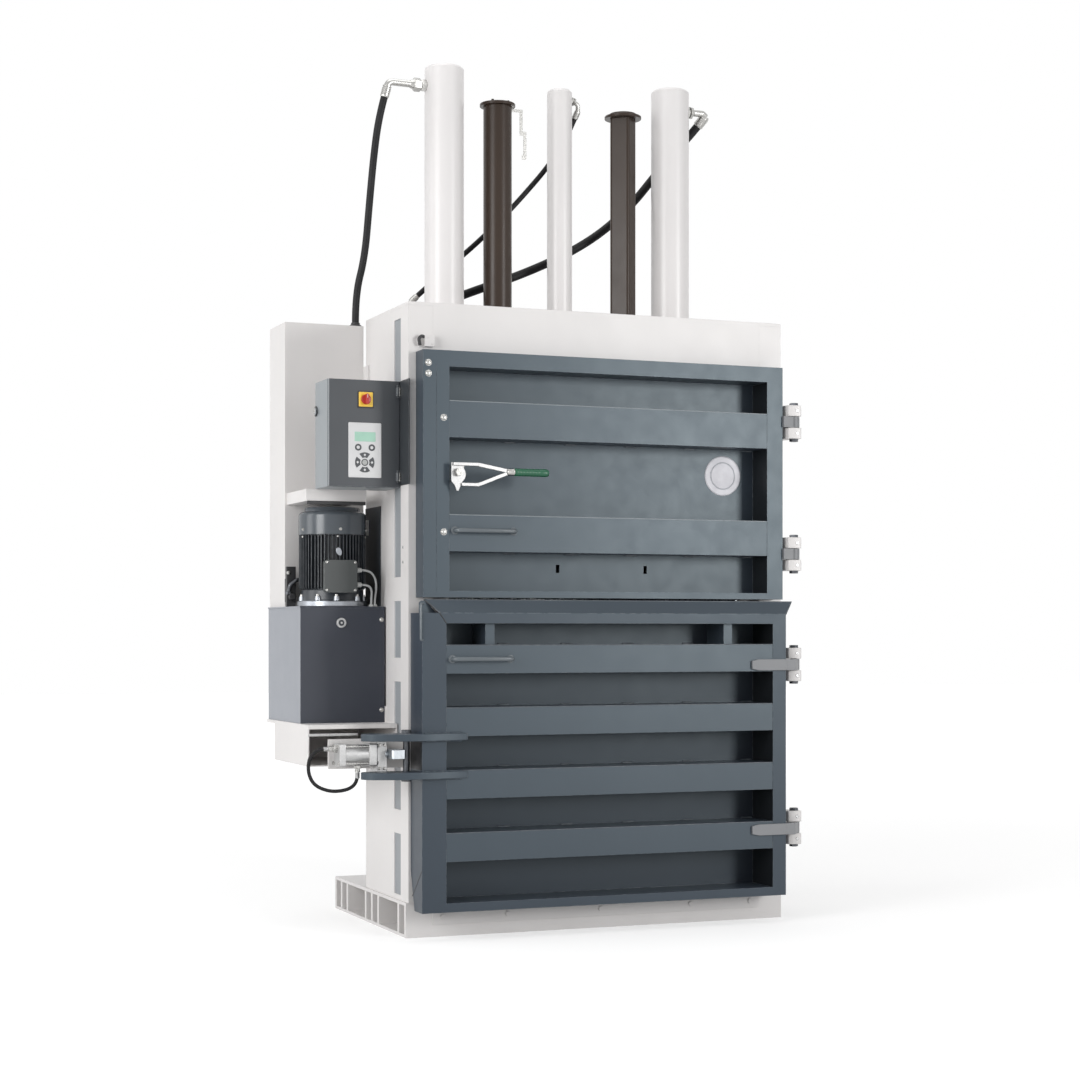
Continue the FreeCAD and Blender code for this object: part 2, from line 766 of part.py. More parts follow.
# Lower door: its skirt is cut back on a slant at the bottom of the free edge.
lower_low = (left + S.lower_left, S.lower_low)
lower_high = (left + S.lower_right, S.lower_high)
lower_shell = fuse(door_shell(
    lower_low, lower_high, (left + S.lower_recess, S.lower_bay_low),
    (left + S.recess_right, S.lower_bay_high), S.lower_front, []))
slant = extruded(
    "YZ_Plane",
    [[(-46, S.lower_low - 1), (1, S.lower_low - 1), (1, 262)]],
    S.lower_recess - S.lower_left - 2 * S.door_plate - 2,
    at=(left + S.lower_left - 2, front, 0))
node("lower_door_shell", cut(lower_shell, [slant]))

rails = []
for number in range(4):
    low = S.rail_first + number * S.rail_pitch
    rails.append(hat_rib(left + S.lower_recess, left + S.recess_right, low,
                         low + S.rail_height, S.lower_front - rib_setback))
node("lower_door_rails", group(rails))

# Two box brackets stand on the top rail, under the lip.
hook_low = S.rail_first + 3 * S.rail_pitch + S.rail_height
hooks = []
for x in (260, 1236):
    hooks.append(cut(
        block((left + x, front - S.hook_reach, hook_low),
              (left + x + S.hook_width, front + S.sheet_face, S.lower_bay_high)),
        [block((left + x + 4, front - S.hook_reach + 4, hook_low - 1),
               (left + x + S.hook_width - 4, front + S.sheet_face + 1,
                S.lower_bay_high - 4))]))
node("lower_door_hooks", group(hooks))

# The lip leans back over the gap between the doors; both ends are mitred and
# spread outwards as the plate rises.
lip_right = left + S.lower_right
lip_low = S.lower_high
lip_high = S.lower_high + S.lip_rise


def lip_section(x_low, x_high, shift):
    """A flared plate: the lower edge is shorter than the upper one."""
    fore = front - S.lower_front + shift
    back = fore + S.lip_lean
    corners = [Vector(float(x), float(y), float(z)) for x, y, z in (
        (x_low[0], fore, lip_low), (x_low[1], fore, lip_low),
        (x_high[1], back, lip_high), (x_high[0], back, lip_high))]
    return corners


def solid_from(near, far):
    """A closed solid between two four-cornered faces."""
    faces = [Part.Face(Part.makePolygon(near + near[:1])),
             Part.Face(Part.makePolygon(far + far[:1]))]
    for i in range(4):
        k = (i + 1) % 4
        ring = [near[i], near[k], far[k], far[i], near[i]]
        faces.append(Part.Face(Part.makePolygon(ring)))
    return Part.makeSolid(Part.makeShell(faces))


lip_ends = (left + S.lip_left, lip_right)
lip_spread = (left + S.lip_left - S.lip_flare, lip_right + S.lip_flare)
lip = doc.addObject("Part::Feature", "Lip")
lip.Shape = solid_from(lip_section(lip_ends, lip_spread, 0),
                       lip_section(lip_ends, lip_spread, S.door_plate * 1.3))
node("lower_door_lip", lip)

# ------------------------------------------------------------------ hinges
hinge_x = left + S.hinge_out
hinge_y = front - S.hinge_fore
half_hinge = S.hinge_height / 2
half_leaf = S.leaf_height / 2


def hinge_leaf(middle, pieces):
    """A door leaf bored for the hinge pin."""
    low = middle - half_leaf
    return cut(fuse(pieces(low, middle + half_leaf)), [
        rod(S.pin_radius + S.pin_gap, S.leaf_height + 2, (hinge_x, hinge_y, low - 1))])


def upper_leaf(low, high):
    """A block on the side of the upper door."""
    return [
        block((left + S.upper_right, front - S.upper_front - 14, low),
              (hinge_x, hinge_y + S.boss_radius, high)),
        prism(16, S.boss_radius + 3, high - low, (hinge_x, hinge_y, low))]


def lower_leaf(low, high):
    """A strap over the face of the lower door, with a tapered end."""
    face = front - S.lower_front
    start = left + S.lower_right - 150
    strap = extruded(
        "XZ_Plane",
        [[(start, low + 6), (start + 30, low), (left + S.lower_right + 20, low),
          (left + S.lower_right + 20, high), (start + 30, high),
          (start, high - 6)]],
        10, at=(0, face - 10, 0))
    return [
        strap,
        block((left + S.lower_right, face - 10, low),
              (hinge_x + 8, hinge_y + 8, high)),
        prism(16, S.boss_radius + 2, high - low, (hinge_x, hinge_y, low))]


node("upper_door_leaves", group([hinge_leaf(z, upper_leaf)
                                 for z in (S.hinge_upper, S.hinge_top)]))
node("lower_door_leaves", group([hinge_leaf(z, lower_leaf)
                                 for z in (S.hinge_foot, S.hinge_lower)]))

# Two forged blocks above and below each leaf are welded to the right column.
hinges = []
for middle in (S.hinge_foot, S.hinge_lower, S.hinge_upper, S.hinge_top):
    foot = middle - half_hinge
    pieces = [
        rod(S.pin_radius, S.hinge_height, (hinge_x, hinge_y, foot)),
        hexagon(38, 12, (hinge_x, hinge_y, foot), (0, 0, -1)),
        hexagon(38, 12, (hinge_x, hinge_y, foot + S.hinge_height))]
    for low, high in ((foot, middle - half_leaf - S.leaf_gap),
                      (middle + half_leaf + S.leaf_gap, middle + half_hinge)):
        pieces.append(extruded(
            "XY_Plane",
            [[(right - 32, front), (right - 32, front - 36),
              (hinge_x - 34, hinge_y - 20), (hinge_x - 20, hinge_y - 32),
              (hinge_x + 34, hinge_y - 32), (hinge_x + 34, hinge_y + 30),
              (right, front)]],
            high - low, at=(0, 0, low)))
    hinges.append(fuse(pieces))
node("hinge_blocks", group(hinges))


# ------------------------------------------------------------------ bent bars
def path_of(points, share=0.45, bend=None):
    """Straight runs joined by tangent arcs; the arc at each corner takes the
    given share of the shorter run beside it, or a fixed bend radius."""
    spots = [Vector(*(float(v) for v in p)) for p in points]
    edges = []
    radii = []
    at = spots[0]
    for before, corner, after in zip(spots, spots[1:], spots[2:]):
        back = (before - corner).normalize()
        ahead = (after - corner).normalize()
        turn = math.pi - back.getAngle(ahead)
        if bend is None:
            trim = share * min((before - corner).Length, (after - corner).Length)
            radius = trim / math.tan(turn / 2)
        else:
            radius = float(bend)
            trim = radius * math.tan(turn / 2)
        radii.append(radius)
        start = corner + back * trim
        end = corner + ahead * trim
        inward = (back + ahead).normalize()
        middle = corner + inward * (radius / math.cos(turn / 2) - radius)
        edges.append(Part.LineSegment(at, start).toShape())
        edges.append(Part.Arc(start, middle, end).toShape())
        at = end
    edges.append(Part.LineSegment(at, spots[-1]).toShape())
    return Part.Wire(edges), radii


def faceted_ring(centre, along, radius, sides):
    """A regular ring across a direction, with the area of the round section."""
    reach = radius * math.sqrt(2 * math.pi / (sides * math.sin(2 * math.pi / sides)))
    turn = Rotation(Vector(*UP), along)
    spots = []
    for number in range(sides):
        angle = 2 * math.pi * number / sides
        spots.append(centre + turn.multVec(
            Vector(reach * math.cos(angle), reach * math.sin(angle), 0)))
    return Part.makePolygon(spots + spots[:1])


def bent_bar(points, radius, sides=6, share=0.45, bend=None):
    """A bar or hose along such a path, with its bend radii and length."""
    wire, radii = path_of(points, share, bend)
    first = wire.Edges[0]
    start = first.Vertexes[0].Point
    along = (first.Vertexes[1].Point - start).normalize()
    ring = faceted_ring(start, along, float(radius), sides)
    shape = wire.makePipeShell([ring], True, False)
    feature = doc.addObject("Part::Feature", fresh("Bent"))
    feature.Shape = shape
    return feature, radii, wire.Length


def mitred_bar(points, radius, sides=8):
    """A bar along straight runs with mitred corners."""
    points = [Vector(*(float(v) for v in p)) for p in points]
    ring = faceted_ring(points[0], points[1] - points[0], float(radius), sides)
    spine = Part.makePolygon(points)
    feature = doc.addObject("Part::Feature", fresh("Bar"))
    feature.Shape = spine.makePipeShell([ring], True, False, 1)
    return feature


# ------------------------------------------------------------------ handles
def pull_handle(x0, x1, z, face):
    """A round bar bent into a shallow U, with a washer at each foot."""
    bar = mitred_bar([(x0, face, z), (x0, face - 24, z), (x0 + 10, face - 34, z),
                      (x1 - 10, face - 34, z), (x1, face - 24, z), (x1, face, z)], 8)
    feet = [prism(12, 15, 3, (x, face, z), FORWARD) for x in (x0, x1)]
    return fuse([bar] + feet)


upper_face = front - S.upper_front
lower_face = front - S.lower_front
node("upper_door_handle", pull_handle(
    left + 150, left + 380, 1497, upper_face + rib_setback))
node("lower_door_handle", pull_handle(
    left + 124, left + 350, 1027, lower_face + rib_setback))

# Bolt heads on the upper door's stile and ribs.
heads = []
for x, z in ((48, 2107), (48, 2068), (107, 1909), (107, 1491)):
    heads.append(hexagon(20, 8, (left + x, upper_face, z), FORWARD))
node("upper_door_bolts", group(heads))

# A plain round disc on the upper door sheet.
node("door_disc", prism(48, 78, 2, (left + 1304, front + S.sheet_face, 1736), FORWARD))

# ------------------------------------------------------------------ door latch
# A bracket in the corner of the recess carries the lever on a pin.
latch_x = left + 152
latch_z = as_size(1708)
latch_face = upper_face - 24
bracket = fuse([
    block((left + S.recess_left, latch_face, latch_z - 26),
          (left + S.recess_left + 48, front + S.sheet_face, latch_z + 26)),
    rod(9, 24, (latch_x, latch_face, latch_z), FORWARD),
    hexagon(26, 14, (latch_x, latch_face - 10, latch_z), FORWARD)])
node("latch_bracket", bracket)

# The lever: a beaked plate, two converging flat arms and a collar.
lever_y = latch_face - 1
plate = extruded(
    "XZ_Plane",
    [[(-26, -34), (-14, -46), (-6, -68), (2, -68), (12, -44), (36, -50),
      (78, -50), (78, -38), (38, -28), (34, 14), (72, 24), (72, 36), (-26, 36)],
     ((0, 0), as_size(9.05))],
    8, at=(latch_x, lever_y - 8, latch_z))
arms = []
for z0, z1 in ((30, 9), (-44, 3)):
    arms.append(extruded(
        "XZ_Plane",
        [[(60, z0 - 7), (72, z0 - 7), (196, z1 - 7), (196, z1 + 7), (72, z0 + 7),
          (60, z0 + 7)]],
        8, at=(latch_x, lever_y - 8, latch_z)))
collar = prism(12, 12, 42, (latch_x + 190, lever_y - 4, latch_z + 6), RIGHT)
node("latch_lever", fuse([plate] + arms + [collar]))
node("latch_grip", prism(
    12, 14, 136, (latch_x + 232, lever_y - 4, latch_z + 6), RIGHT))

# ------------------------------------------------------------------ oil tank
def shell_box(low, high, wall, open_side):
    """A sheet box with one open side, named by axis and end."""
    axis, end = open_side
    inner_low = [as_size(v) + wall for v in low]
    inner_high = [as_size(v) - wall for v in high]
    if end == "low":
        inner_low[axis] = as_size(low[axis]) - 1
    else:
        inner_high[axis] = as_size(high[axis]) + 1
    return cut(block(low, high), [block(inner_low, inner_high)])


tank_front = front + S.tank_setback
tank_left = left - S.tank_reach
lid_top = S.tank_high + S.lid_thick
node("oil_tank", fuse([
    shell_box((tank_left, tank_front, S.tank_low),
              (left - S.tank_gap, tank_front + S.tank_depth, S.tank_high),
              3, (2, "high")),
    hexagon(30, 8, (left - 178, tank_front, 1160), FORWARD)]))
node("tank_lid", block(
    (tank_left - 2, tank_front - 2, S.tank_high),
    (left - S.tank_gap, tank_front + S.tank_depth + 2, lid_top)))

# The console under the tank is a sheet box, open in front, with a thick roof.
console_front = front + S.console_setback
console_left = left - S.console_reach
node("tank_console", fuse([
    shell_box((console_left, console_front, S.console_low),
              (left, console_front + S.console_depth, S.console_high),
              4, (1, "low")),
    block((console_left, console_front, S.console_high),
          (left, tank_front + S.tank_depth, S.tank_low)),
    block((left - S.tank_gap, tank_front, S.tank_low),
          (left, front + S.column_depth, S.tank_low + 60))]))

# ------------------------------------------------------------------ motor
motor_x = left - S.motor_out
motor_y = front + S.motor_row
motor_at = (motor_x, motor_y)
fins_low = lid_top + S.motor_foot
fins_high = fins_low + S.motor_body

drum_sides = 32             # flat faces round the motor, one to each fin
housing = doc.addObject("PartDesign::Body", "MotorHousing")
core_radius = S.motor_radius - S.fin_height
corner_turns = [2 * math.pi * (number + 0.5) / drum_sides for number in range(drum_sides)]
core_sketch = sketch_in(housing, "XY_Plane", [
    [(core_radius * math.cos(turn), core_radius * math.sin(turn))
     for turn in corner_turns],
    ((0, 0), S.shaft_radius + S.slide_gap)])
core = housing.newObject("PartDesign::Pad", "MotorCore")
core.Profile = core_sketch
bind(core, "Length", S.motor_body)
fin_sketch = sketch_in(housing, "XY_Plane", [rect(
    S.motor_radius - S.fin_height - 3, -S.fin_thick / 2, S.motor_radius,
    S.fin_thick / 2)])
fin = housing.newObject("PartDesign::Pad", "MotorFin")
fin.Profile = fin_sketch
bind(fin, "Length", S.motor_body)
housing.Tip = fin
doc.recompute()
fins = housing.newObject("PartDesign::PolarPattern", "MotorFins")
fins.Originals = [fin]
fins.Axis = (core_sketch, ["N_Axis"])
fins.Angle = 360
fins.Occurrences = drum_sides
housing.Tip = fins
set_place(housing, motor_at + (fins_low,))
box_low = fins_low + S.terminal_rise
box_high = box_low + S.terminal_height
box_left = motor_x - S.terminal_side
box_right = box_left + S.terminal_width
pad_front = motor_y - S.motor_radius - S.terminal_stand
node("motor_housing", fuse([
    housing,
    block((box_left + 12, pad_front, box_low + 12),
          (box_right - 12, motor_y - S.motor_radius * 0.55, box_high - 12))]))

foot_bolts = []
for turn in range(8):
    angle = math.radians(22.5 + 45 * turn)
    reach = S.flange_radius - 13
    foot_bolts.append(hexagon(17, 9, (
        motor_x + reach * math.cos(angle), motor_y + reach * math.sin(angle),
        lid_top + S.motor_foot * 0.55)))
foot_ring = cut(
    fuse([prism(drum_sides, S.flange_radius, S.motor_foot * 0.55, motor_at + (lid_top,)),
          prism(drum_sides, S.motor_radius - 6, S.motor_foot, motor_at + (lid_top,))]),
    [prism(12, S.shaft_radius + 2, S.motor_foot + 2, motor_at + (lid_top - 1,))])
node("motor_flange", fuse([foot_ring] + foot_bolts))

# The fan cowl: a drum with a raised, stepped top and radial air slots in it.
cowl_low = fins_high
cowl_wall = 2
cowl_step = 25
shell_high = S.cowl_height - cowl_step
cowl = cut(
    fuse([prism(drum_sides, S.motor_radius, shell_high, motor_at + (cowl_low,)),
          prism(drum_sides, S.motor_radius - cowl_step, S.cowl_height,
                motor_at + (cowl_low,))]),
    [prism(drum_sides, S.motor_radius - cowl_wall, shell_high - cowl_wall,
           motor_at + (cowl_low - 1,))])
vent_count = 8
vents = []
for number in range(vent_count):
    vent = block((28, -4, 0), (S.motor_radius - 36, 4, S.cowl_height))
    turn_by = Rotation(Vector(*UP), 360 / vent_count * number)
    offset = turn_by.multVec(Vector(28, -4, 0))
    vent.Placement.Rotation = turn_by
    bind(vent, "Placement.Base.x", motor_x + offset.x)
    bind(vent, "Placement.Base.y", motor_y + offset.y)
    bind(vent, "Placement.Base.z", cowl_low + shell_high - 2 * cowl_wall)
    vents.append(vent)
cowl_seat = cut(
    prism(drum_sides, S.motor_radius, 4, motor_at + (cowl_low,)),
    [prism(12, S.shaft_radius + 2, 6, motor_at + (cowl_low - 1,))])
node("motor_cowl", fuse([cut(cowl, vents), cowl_seat]))

# The rotor: a shaft with the cooling fan under the cowl.
fan_low = cowl_low + 24
shaft_low = lid_top + 4
shaft = rod(S.shaft_radius, fan_low - shaft_low + 36, motor_at + (shaft_low,))
hub = prism(16, 32, 36, motor_at + (fan_low,))
blades = []
for turn in range(7):
    blade = block((28, -2, 0), (S.motor_radius - 22, 2, 34))
    turn_by = Rotation(Vector(*UP), 360 / 7 * turn)
    offset = turn_by.multVec(Vector(28, -2, 0))
    blade.Placement.Rotation = turn_by
    bind(blade, "Placement.Base.x", motor_x + offset.x)
    bind(blade, "Placement.Base.y", motor_y + offset.y)
    bind(blade, "Placement.Base.z", fan_low)
    blades.append(blade)
node("motor_rotor", fuse([shaft, hub] + blades))

# Terminal box on the front of the motor, with a lid and corner screws.
box_depth = S.terminal_depth
lid_screws = []
for x in (box_left + 10, box_right - 10):
    for z in (box_low + 10, box_high - 10):
        lid_screws.append(hexagon(8, 2, (x, pad_front - box_depth, z), FORWARD))


def along_y(edge):
    """True for the edges that run from front to back."""
    box = edge.BoundBox
    return box.YLength > 3 * max(box.XLength, box.ZLength)


terminal = extruded(
    "XZ_Plane", [rect(box_left, box_low, box_right, box_high)], box_depth,
    at=(0, pad_front - box_depth, 0), rounds=[(7, along_y)])
node("terminal_box", fuse([terminal] + lid_screws))

# Solenoid valve block on the lid beside the motor.
node("valve_block", fuse([
    block((left - 330, front + 480, lid_top), (left - 294, front + 530, lid_top + 60)),
    prism(10, 16, 86, (left - 312, front + 505, lid_top + 60)),
    hexagon(28, 8, (left - 312, front + 505, lid_top + 146))]))

# ------------------------------------------------------------------ covers
cover_front = front + S.cover_setback
cover_back = cover_front + S.cover_depth
cover_left = left - S.cover_reach
node("hose_cover", fuse([
    shell_box((cover_left, cover_front, lid_top),
              (left - S.tank_gap, cover_back, S.cover_top), 3, (2, "low")),
    block((left - S.tank_gap, cover_front - 60, 1500), (left, cover_front + 60, 1560)),
    block((left - S.tank_gap, cover_front - 60, 2100), (left, cover_front + 60, 2160))]))

# ------------------------------------------------------------------ cabinet
cab_left = left - S.cabinet_reach
cab_right = left - S.panel_thick
cab_front = front + S.cabinet_setback
cab_back = cab_front + S.cabinet_depth
body_front = cab_front + S.cabinet_door + 1
node("cabinet_body", fuse([
    shell_box((cab_left, body_front, S.cabinet_low),
              (cab_right, cab_back, S.cabinet_high), 3, (1, "low")),
    hexagon(24, 8, (cab_left, cab_back - 22, S.cabinet_high - 108), LEFT)]))
panel = block(
    (cab_right, cab_front - S.panel_fore, S.cabinet_low + 8),
    (left, cab_back, S.cabinet_high))
node("cable_duct", block(
    (left - 313, cab_back, S.cabinet_low - 45), (left - 79, cover_front, S.cabinet_low)))

# Inside: a mounting plate with a row of switchgear.
gear_back = cab_back - 3
gear = [block((cab_left + 20, gear_back - 4, S.cabinet_low + 25),
              (cab_right - 20, gear_back, S.cabinet_high - 25))]
for start, width, low, height, depth in (
        (34, 54, 230, 92, 70), (96, 54, 230, 92, 70), (158, 80, 240, 70, 58),
        (34, 120, 90, 84, 62), (166, 72, 90, 84, 50)):
    gear.append(block(
        (cab_left + start, gear_back - 4 - depth, S.cabinet_low + low),
        (cab_left + start + width, gear_back - 4, S.cabinet_low + low + height)))
node("cabinet_gear", fuse(gear))

# The cabinet door is a shallow tray on two pin knuckles at its right edge.
cab_hinge_x = left - S.panel_thick - 10
cab_hinge_y = cab_front - 8
door_tray = shell_box(
    (cab_left + 1, cab_front, S.cabinet_low + 1),
    (cab_right - 2, cab_front + S.cabinet_door - 1.5, S.cabinet_high - 1), 2,
    (1, "high"))
knuckles = []
for z in (S.cabinet_low + 25, S.cabinet_high - 55):
    knuckles += [
        cut(prism(12, 6, 30, (cab_hinge_x, cab_hinge_y, z)),
            [rod(3 + S.pin_gap, 32, (cab_hinge_x, cab_hinge_y, z - 1))]),
        block((cab_hinge_x - 5, cab_hinge_y + 4, z), (cab_hinge_x - 1, cab_front, z + 30))]
node("cabinet_door", fuse([door_tray] + knuckles))
hinge_parts = []
for z in (S.cabinet_low + 25, S.cabinet_high - 55):
    hinge_parts.append(fuse([
        rod(3, 46, (cab_hinge_x, cab_hinge_y, z - 8)),
        hexagon(11, 7, (cab_hinge_x, cab_hinge_y, z - 8)),
        hexagon(11, 7, (cab_hinge_x, cab_hinge_y, z + 31)),
        block((cab_hinge_x, cab_hinge_y - 5, z - 8), (cab_right, cab_hinge_y + 5, z - 1)),
        block((cab_hinge_x, cab_hinge_y - 5, z + 31), (cab_right, cab_hinge_y + 5, z + 38))]))
node("cabinet_panel", fuse([panel] + hinge_parts))

# Operator's film keypad, main switch plate and the turning switch knob.
pad_mid = left - 140
node("keypad", extruded(
    "XZ_Plane", [rect(pad_mid - 63, 1694, pad_mid + 63, 1896),
                 rect(pad_mid - 41, 1826, pad_mid + 41, 1862)],
    3, at=(0, cab_front - 3, 0)))
switch_x = left - 137
switch_z = as_size(1982)
plate_half = 27
node("switch_plate", extruded(
    "XZ_Plane",
    [rect(switch_x - plate_half, switch_z - plate_half, switch_x + plate_half,
          switch_z + plate_half)],
    5, at=(0, cab_front - 5, 0)))
node("switch_knob", fuse([
    prism(16, 17, 9, (switch_x, cab_front - 5.3, switch_z), FORWARD),
    block((switch_x - 5, cab_front - 28, switch_z - 14),
          (switch_x + 5, cab_front - 13, switch_z + 14))]))

# ------------------------------------------------------------------ door lock
# Two arms on the lower door carry an upright pin past the left column; a claw
# on the frame slides across in front of the pin.
lock_pin_x = left - S.lock_pin_out
lock_pin_y = front - S.lock_pin_fore
claw_z = as_size(682)
arm_line = [
    (185, -133), (150, -143), (40, -162), (-80, -160), (-172, -126), (-198, -102),
    (-206, -78), (-194, -56), (-162, -44), (8, -44), (8, -133)]
lock_arms = []
for middle in (607, 745):
    lock_arms.append(extruded(
        "XY_Plane", [[(left + x, front + y) for x, y in arm_line]], S.lock_arm,
        at=(0, 0, middle - S.lock_arm / 2)))
pin_low = 607 - S.lock_arm / 2 - 4
pin_bar = prism(16, S.lock_pin, 745 + S.lock_arm / 2 + 12 - pin_low,
              (lock_pin_x, lock_pin_y, pin_low))
pin_cap = hexagon(34, 10, (lock_pin_x, lock_pin_y, 745 + S.lock_arm / 2))
node("lock_arms", fuse(lock_arms + [pin_bar, pin_cap]))

cylinder_y = front - S.lock_line
cylinder_tail = left - 280
saddle_back = front + 40
node("lock_bracket", fuse([
    block((left - 292, saddle_back, claw_z - 55), (left, saddle_back + 12, claw_z + 53)),
    block((left - 10, saddle_back + 12, claw_z - 55), (left, front + 126, claw_z + 53)),
    block((left - 134, saddle_back - 30, claw_z - 55),
          (left - 98, saddle_back, claw_z - 45))]))
lock_at = (cylinder_tail, cylinder_y, claw_z)
lock_body = cut(
    fuse([prism(16, S.lock_radius, 118, lock_at, RIGHT),
          prism(16, S.lock_radius - 8, 140, lock_at, RIGHT)]),
    [rod(S.claw_rod + S.slide_gap, 112, (cylinder_tail + 30, cylinder_y, claw_z), RIGHT)])
saddle = block((left - 262, cylinder_y + S.lock_radius * 0.7, claw_z - 30),
               (left - 160, saddle_back, claw_z + 30))
tail_port = fuse([
    prism(8, 11, 32, (cylinder_tail, cylinder_y, claw_z + 22), LEFT),
    hexagon(30, 14, (cylinder_tail - 10, cylinder_y, claw_z + 22), LEFT)])
foot_port = fuse([
    prism(8, 9, 22, (left - 203, cylinder_y, claw_z - S.lock_radius), (0, 0, -1)),
    hexagon(26, 11, (left - 203, cylinder_y, claw_z - S.lock_radius), (0, 0, -1))])
node("lock_cylinder", group([fuse([lock_body, saddle]), tail_port, foot_port]))

# The claw and its rod, at rest clear of the pin's way out.
claw_half = 17
node("lock_claw", fuse([
    rod(S.claw_rod, 148, (left - 232, cylinder_y, claw_z), RIGHT),
    extruded(
        "XY_Plane",
        [[(left - 92, front - 10), (left - 92, front - 86), (left - 84, front - 92),
          (left - 44, front - 92), (left - 44, front - 78), (left - 76, front - 78),
          (left - 76, front - 44), (left - 30, front - 44), (left - 30, front - 18),
          (left - 38, front - 10)]],
        2 * claw_half, at=(0, 0, claw_z - claw_half))]))

# ------------------------------------------------------------------ hoses
# Each route lists (x from the frame's left side, y behind its front, z).
frame_high = float(S.frame_top)
hose_paths = {
    "hose_left": (S.hose_thick / 2, frame_high, [
        (40, 415, 852), (20, 424, 770), (8, 448, 635), (3, 492, 450),
        (-2, 534, 250), (-28, 575, 110), (-28, 575, -6)]),
    "hose_middle": (S.hose_thin / 2, frame_high, [
        (846, 437, 846), (826, 456, 788), (790, 478, 717), (744, 495, 645),
        (672, 503, 559), (590, 508, 467), (470, 512, 344), (330, 511, 222),
        (196, 494, 100)]),
    "hose_right": (S.hose_fat / 2, frame_high, [
        (1400, 448, 868), (1372, 474, 826), (1318, 500, 764), (1240, 518, 665),
        (1140, 526, 540), (1005, 527, 414), (840, 527, 310), (640, 527, 216),
        (450, 526, 144), (345, 517, 100)]),
    "lock_hose": (S.lock_hose / 2, 0, [
        (-312, -27, 704), (-352, -27, 704), (-383, -26, 675), (-388, -24, 622),
        (-365, -23, 574), (-308, -23, 550), (-252, -25, 552), (-219, -27, 566),
        (-203, -27, 592), (-203, -27, 618)]),
    "motor_cable_upper": (S.cable_thick / 2, 0, [
        (-101, 254, 1358), (-70, 254, 1358), (-44, 260, 1328), (-38, 270, 1288),
        (-42, 278, 1254), (-42, 278, 1230)]),
    "motor_cable_lower": (S.cable_thick / 2, 0, [
        (-101, 254, 1303), (-74, 254, 1303), (-58, 262, 1283), (-57, 274, 1256),
        (-57, 274, 1230)]),
}


def spot(point, base):
    """A hose point in the machine's own frame, its height from a base level."""
    x, y, z = point
    return Vector(float(left) + x, float(front) + y, base + z)


for name, (radius, base, route) in hose_paths.items():
    sides = 6 if radius.value > 8 else 5
    hose, radii, length = bent_bar([spot(p, base) for p in route], radius, sides)
    node(name, hose)
    section = math.pi * float(radius) ** 2
    print(name, "length", round(length, 1), "smallest radius", round(min(radii), 1),
          "in diameters", round(min(radii) / 2 / float(radius), 1),
          "volume ratio", round(hose.Shape.Volume / section / length, 4))


def hose_end(name, end, port, knee, pipe, across, barrel_at=None):
    """A crimped ferrule on a hose end, its bent pipe and a hexagonal nut, which
    is shaped to the barrel that it stands on."""
    radius, base, route = hose_paths[name]
    tip = spot(route[end], base)
    inner = spot(route[1 if end == 0 else -2], base)
    ahead = (tip - inner).normalize()
    crimp = float(radius) * 1.25
    stub = tip + ahead * (crimp * 2.2)
    ferrule = prism(10, crimp, crimp * 2.2, tuple(tip), tuple(ahead))
    port_spot = spot(port, base)
    knee_spot = spot(knee, base)
    away = (knee_spot - port_spot).normalize()
    nut_height = across * 0.55
    nut = hexagon(across, nut_height, tuple(port_spot), tuple(away))
    if barrel_at:
        axis_x, barrel_radius = barrel_at
        nut = cut(hexagon(across, nut_height + 12, tuple(port_spot - away * 12),
                          tuple(away)),
                  [rod(barrel_radius, 3 * across,
                       (axis_x, drive_y, port_spot.z - 1.5 * across))])
    bar, _, _ = bent_bar([port_spot + away * nut_height, knee_spot, stub], pipe,
                         bend=pipe * 1.6)
    return group([ferrule, bar, nut])


node("hose_fittings", group([
    hose_end("hose_left", 0, (207, 415, 910), (54, 409, 910), 11, 38,
             (-S.outer_pitch, S.barrel_radius)),
    prism(10, 17, 14, (left - 28, front + 575, S.cover_top)),
    hose_end("hose_middle", 0, (821, 417, 910), (856, 427, 898), 9, 30,
             (as_size(0), S.slim_radius)),
    hose_end("hose_middle", -1, (160, 489, 0), (160, 489, 68), 9, 30),
    hose_end("hose_right", 0, (1335, 417, 910), (1409, 421, 912), 13, 44,
             (S.outer_pitch, S.barrel_radius)),
    hose_end("hose_right", -1, (296, 509, 0), (296, 509, 78), 13, 32)]))

# Cable glands: two on the terminal box, two on the tank lid.
glands = []
for name in ("motor_cable_upper", "motor_cable_lower"):
    radius, base, route = hose_paths[name]
    start = spot(route[0], base)
    glands.append(hexagon(19, start.x - float(box_right),
                          (box_right, start.y, start.z), RIGHT))
    end = spot(route[-1], base)
    glands.append(hexagon(17, end.z - float(lid_top), (end.x, end.y, lid_top)))
node("cable_glands", group(glands))

# ------------------------------------------------------------------ output
doc.recompute()
for obj in doc.Objects:
    if "Invalid" in obj.State or "Error" in obj.State:
        raise RuntimeError(f"{obj.Name} ({obj.Label}) failed: {obj.State}")
os.makedirs("parts", exist_ok=True)
for obj in nodes:
    shape = obj.Shape
    if shape.isNull() or not shape.isValid() or shape.Volume <= 0:
        raise RuntimeError(f"{obj.Label} has no valid shape")
    shape.exportStep(f"parts/{obj.Label}.step")
    box = shape.BoundBox
    print(f"{obj.Label:20s} solids {len(shape.Solids):2d} volume {shape.Volume / 1e6:9.3f}"
          f"  x {box.XMin:8.1f} {box.XMax:8.1f}  y {box.YMin:8.1f} {box.YMax:8.1f}"
          f"  z {box.ZMin:8.1f} {box.ZMax:8.1f}")
print(len(nodes), "sub-parts")
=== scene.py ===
import math

import bmesh
import bpy
from mathutils import Matrix, Vector


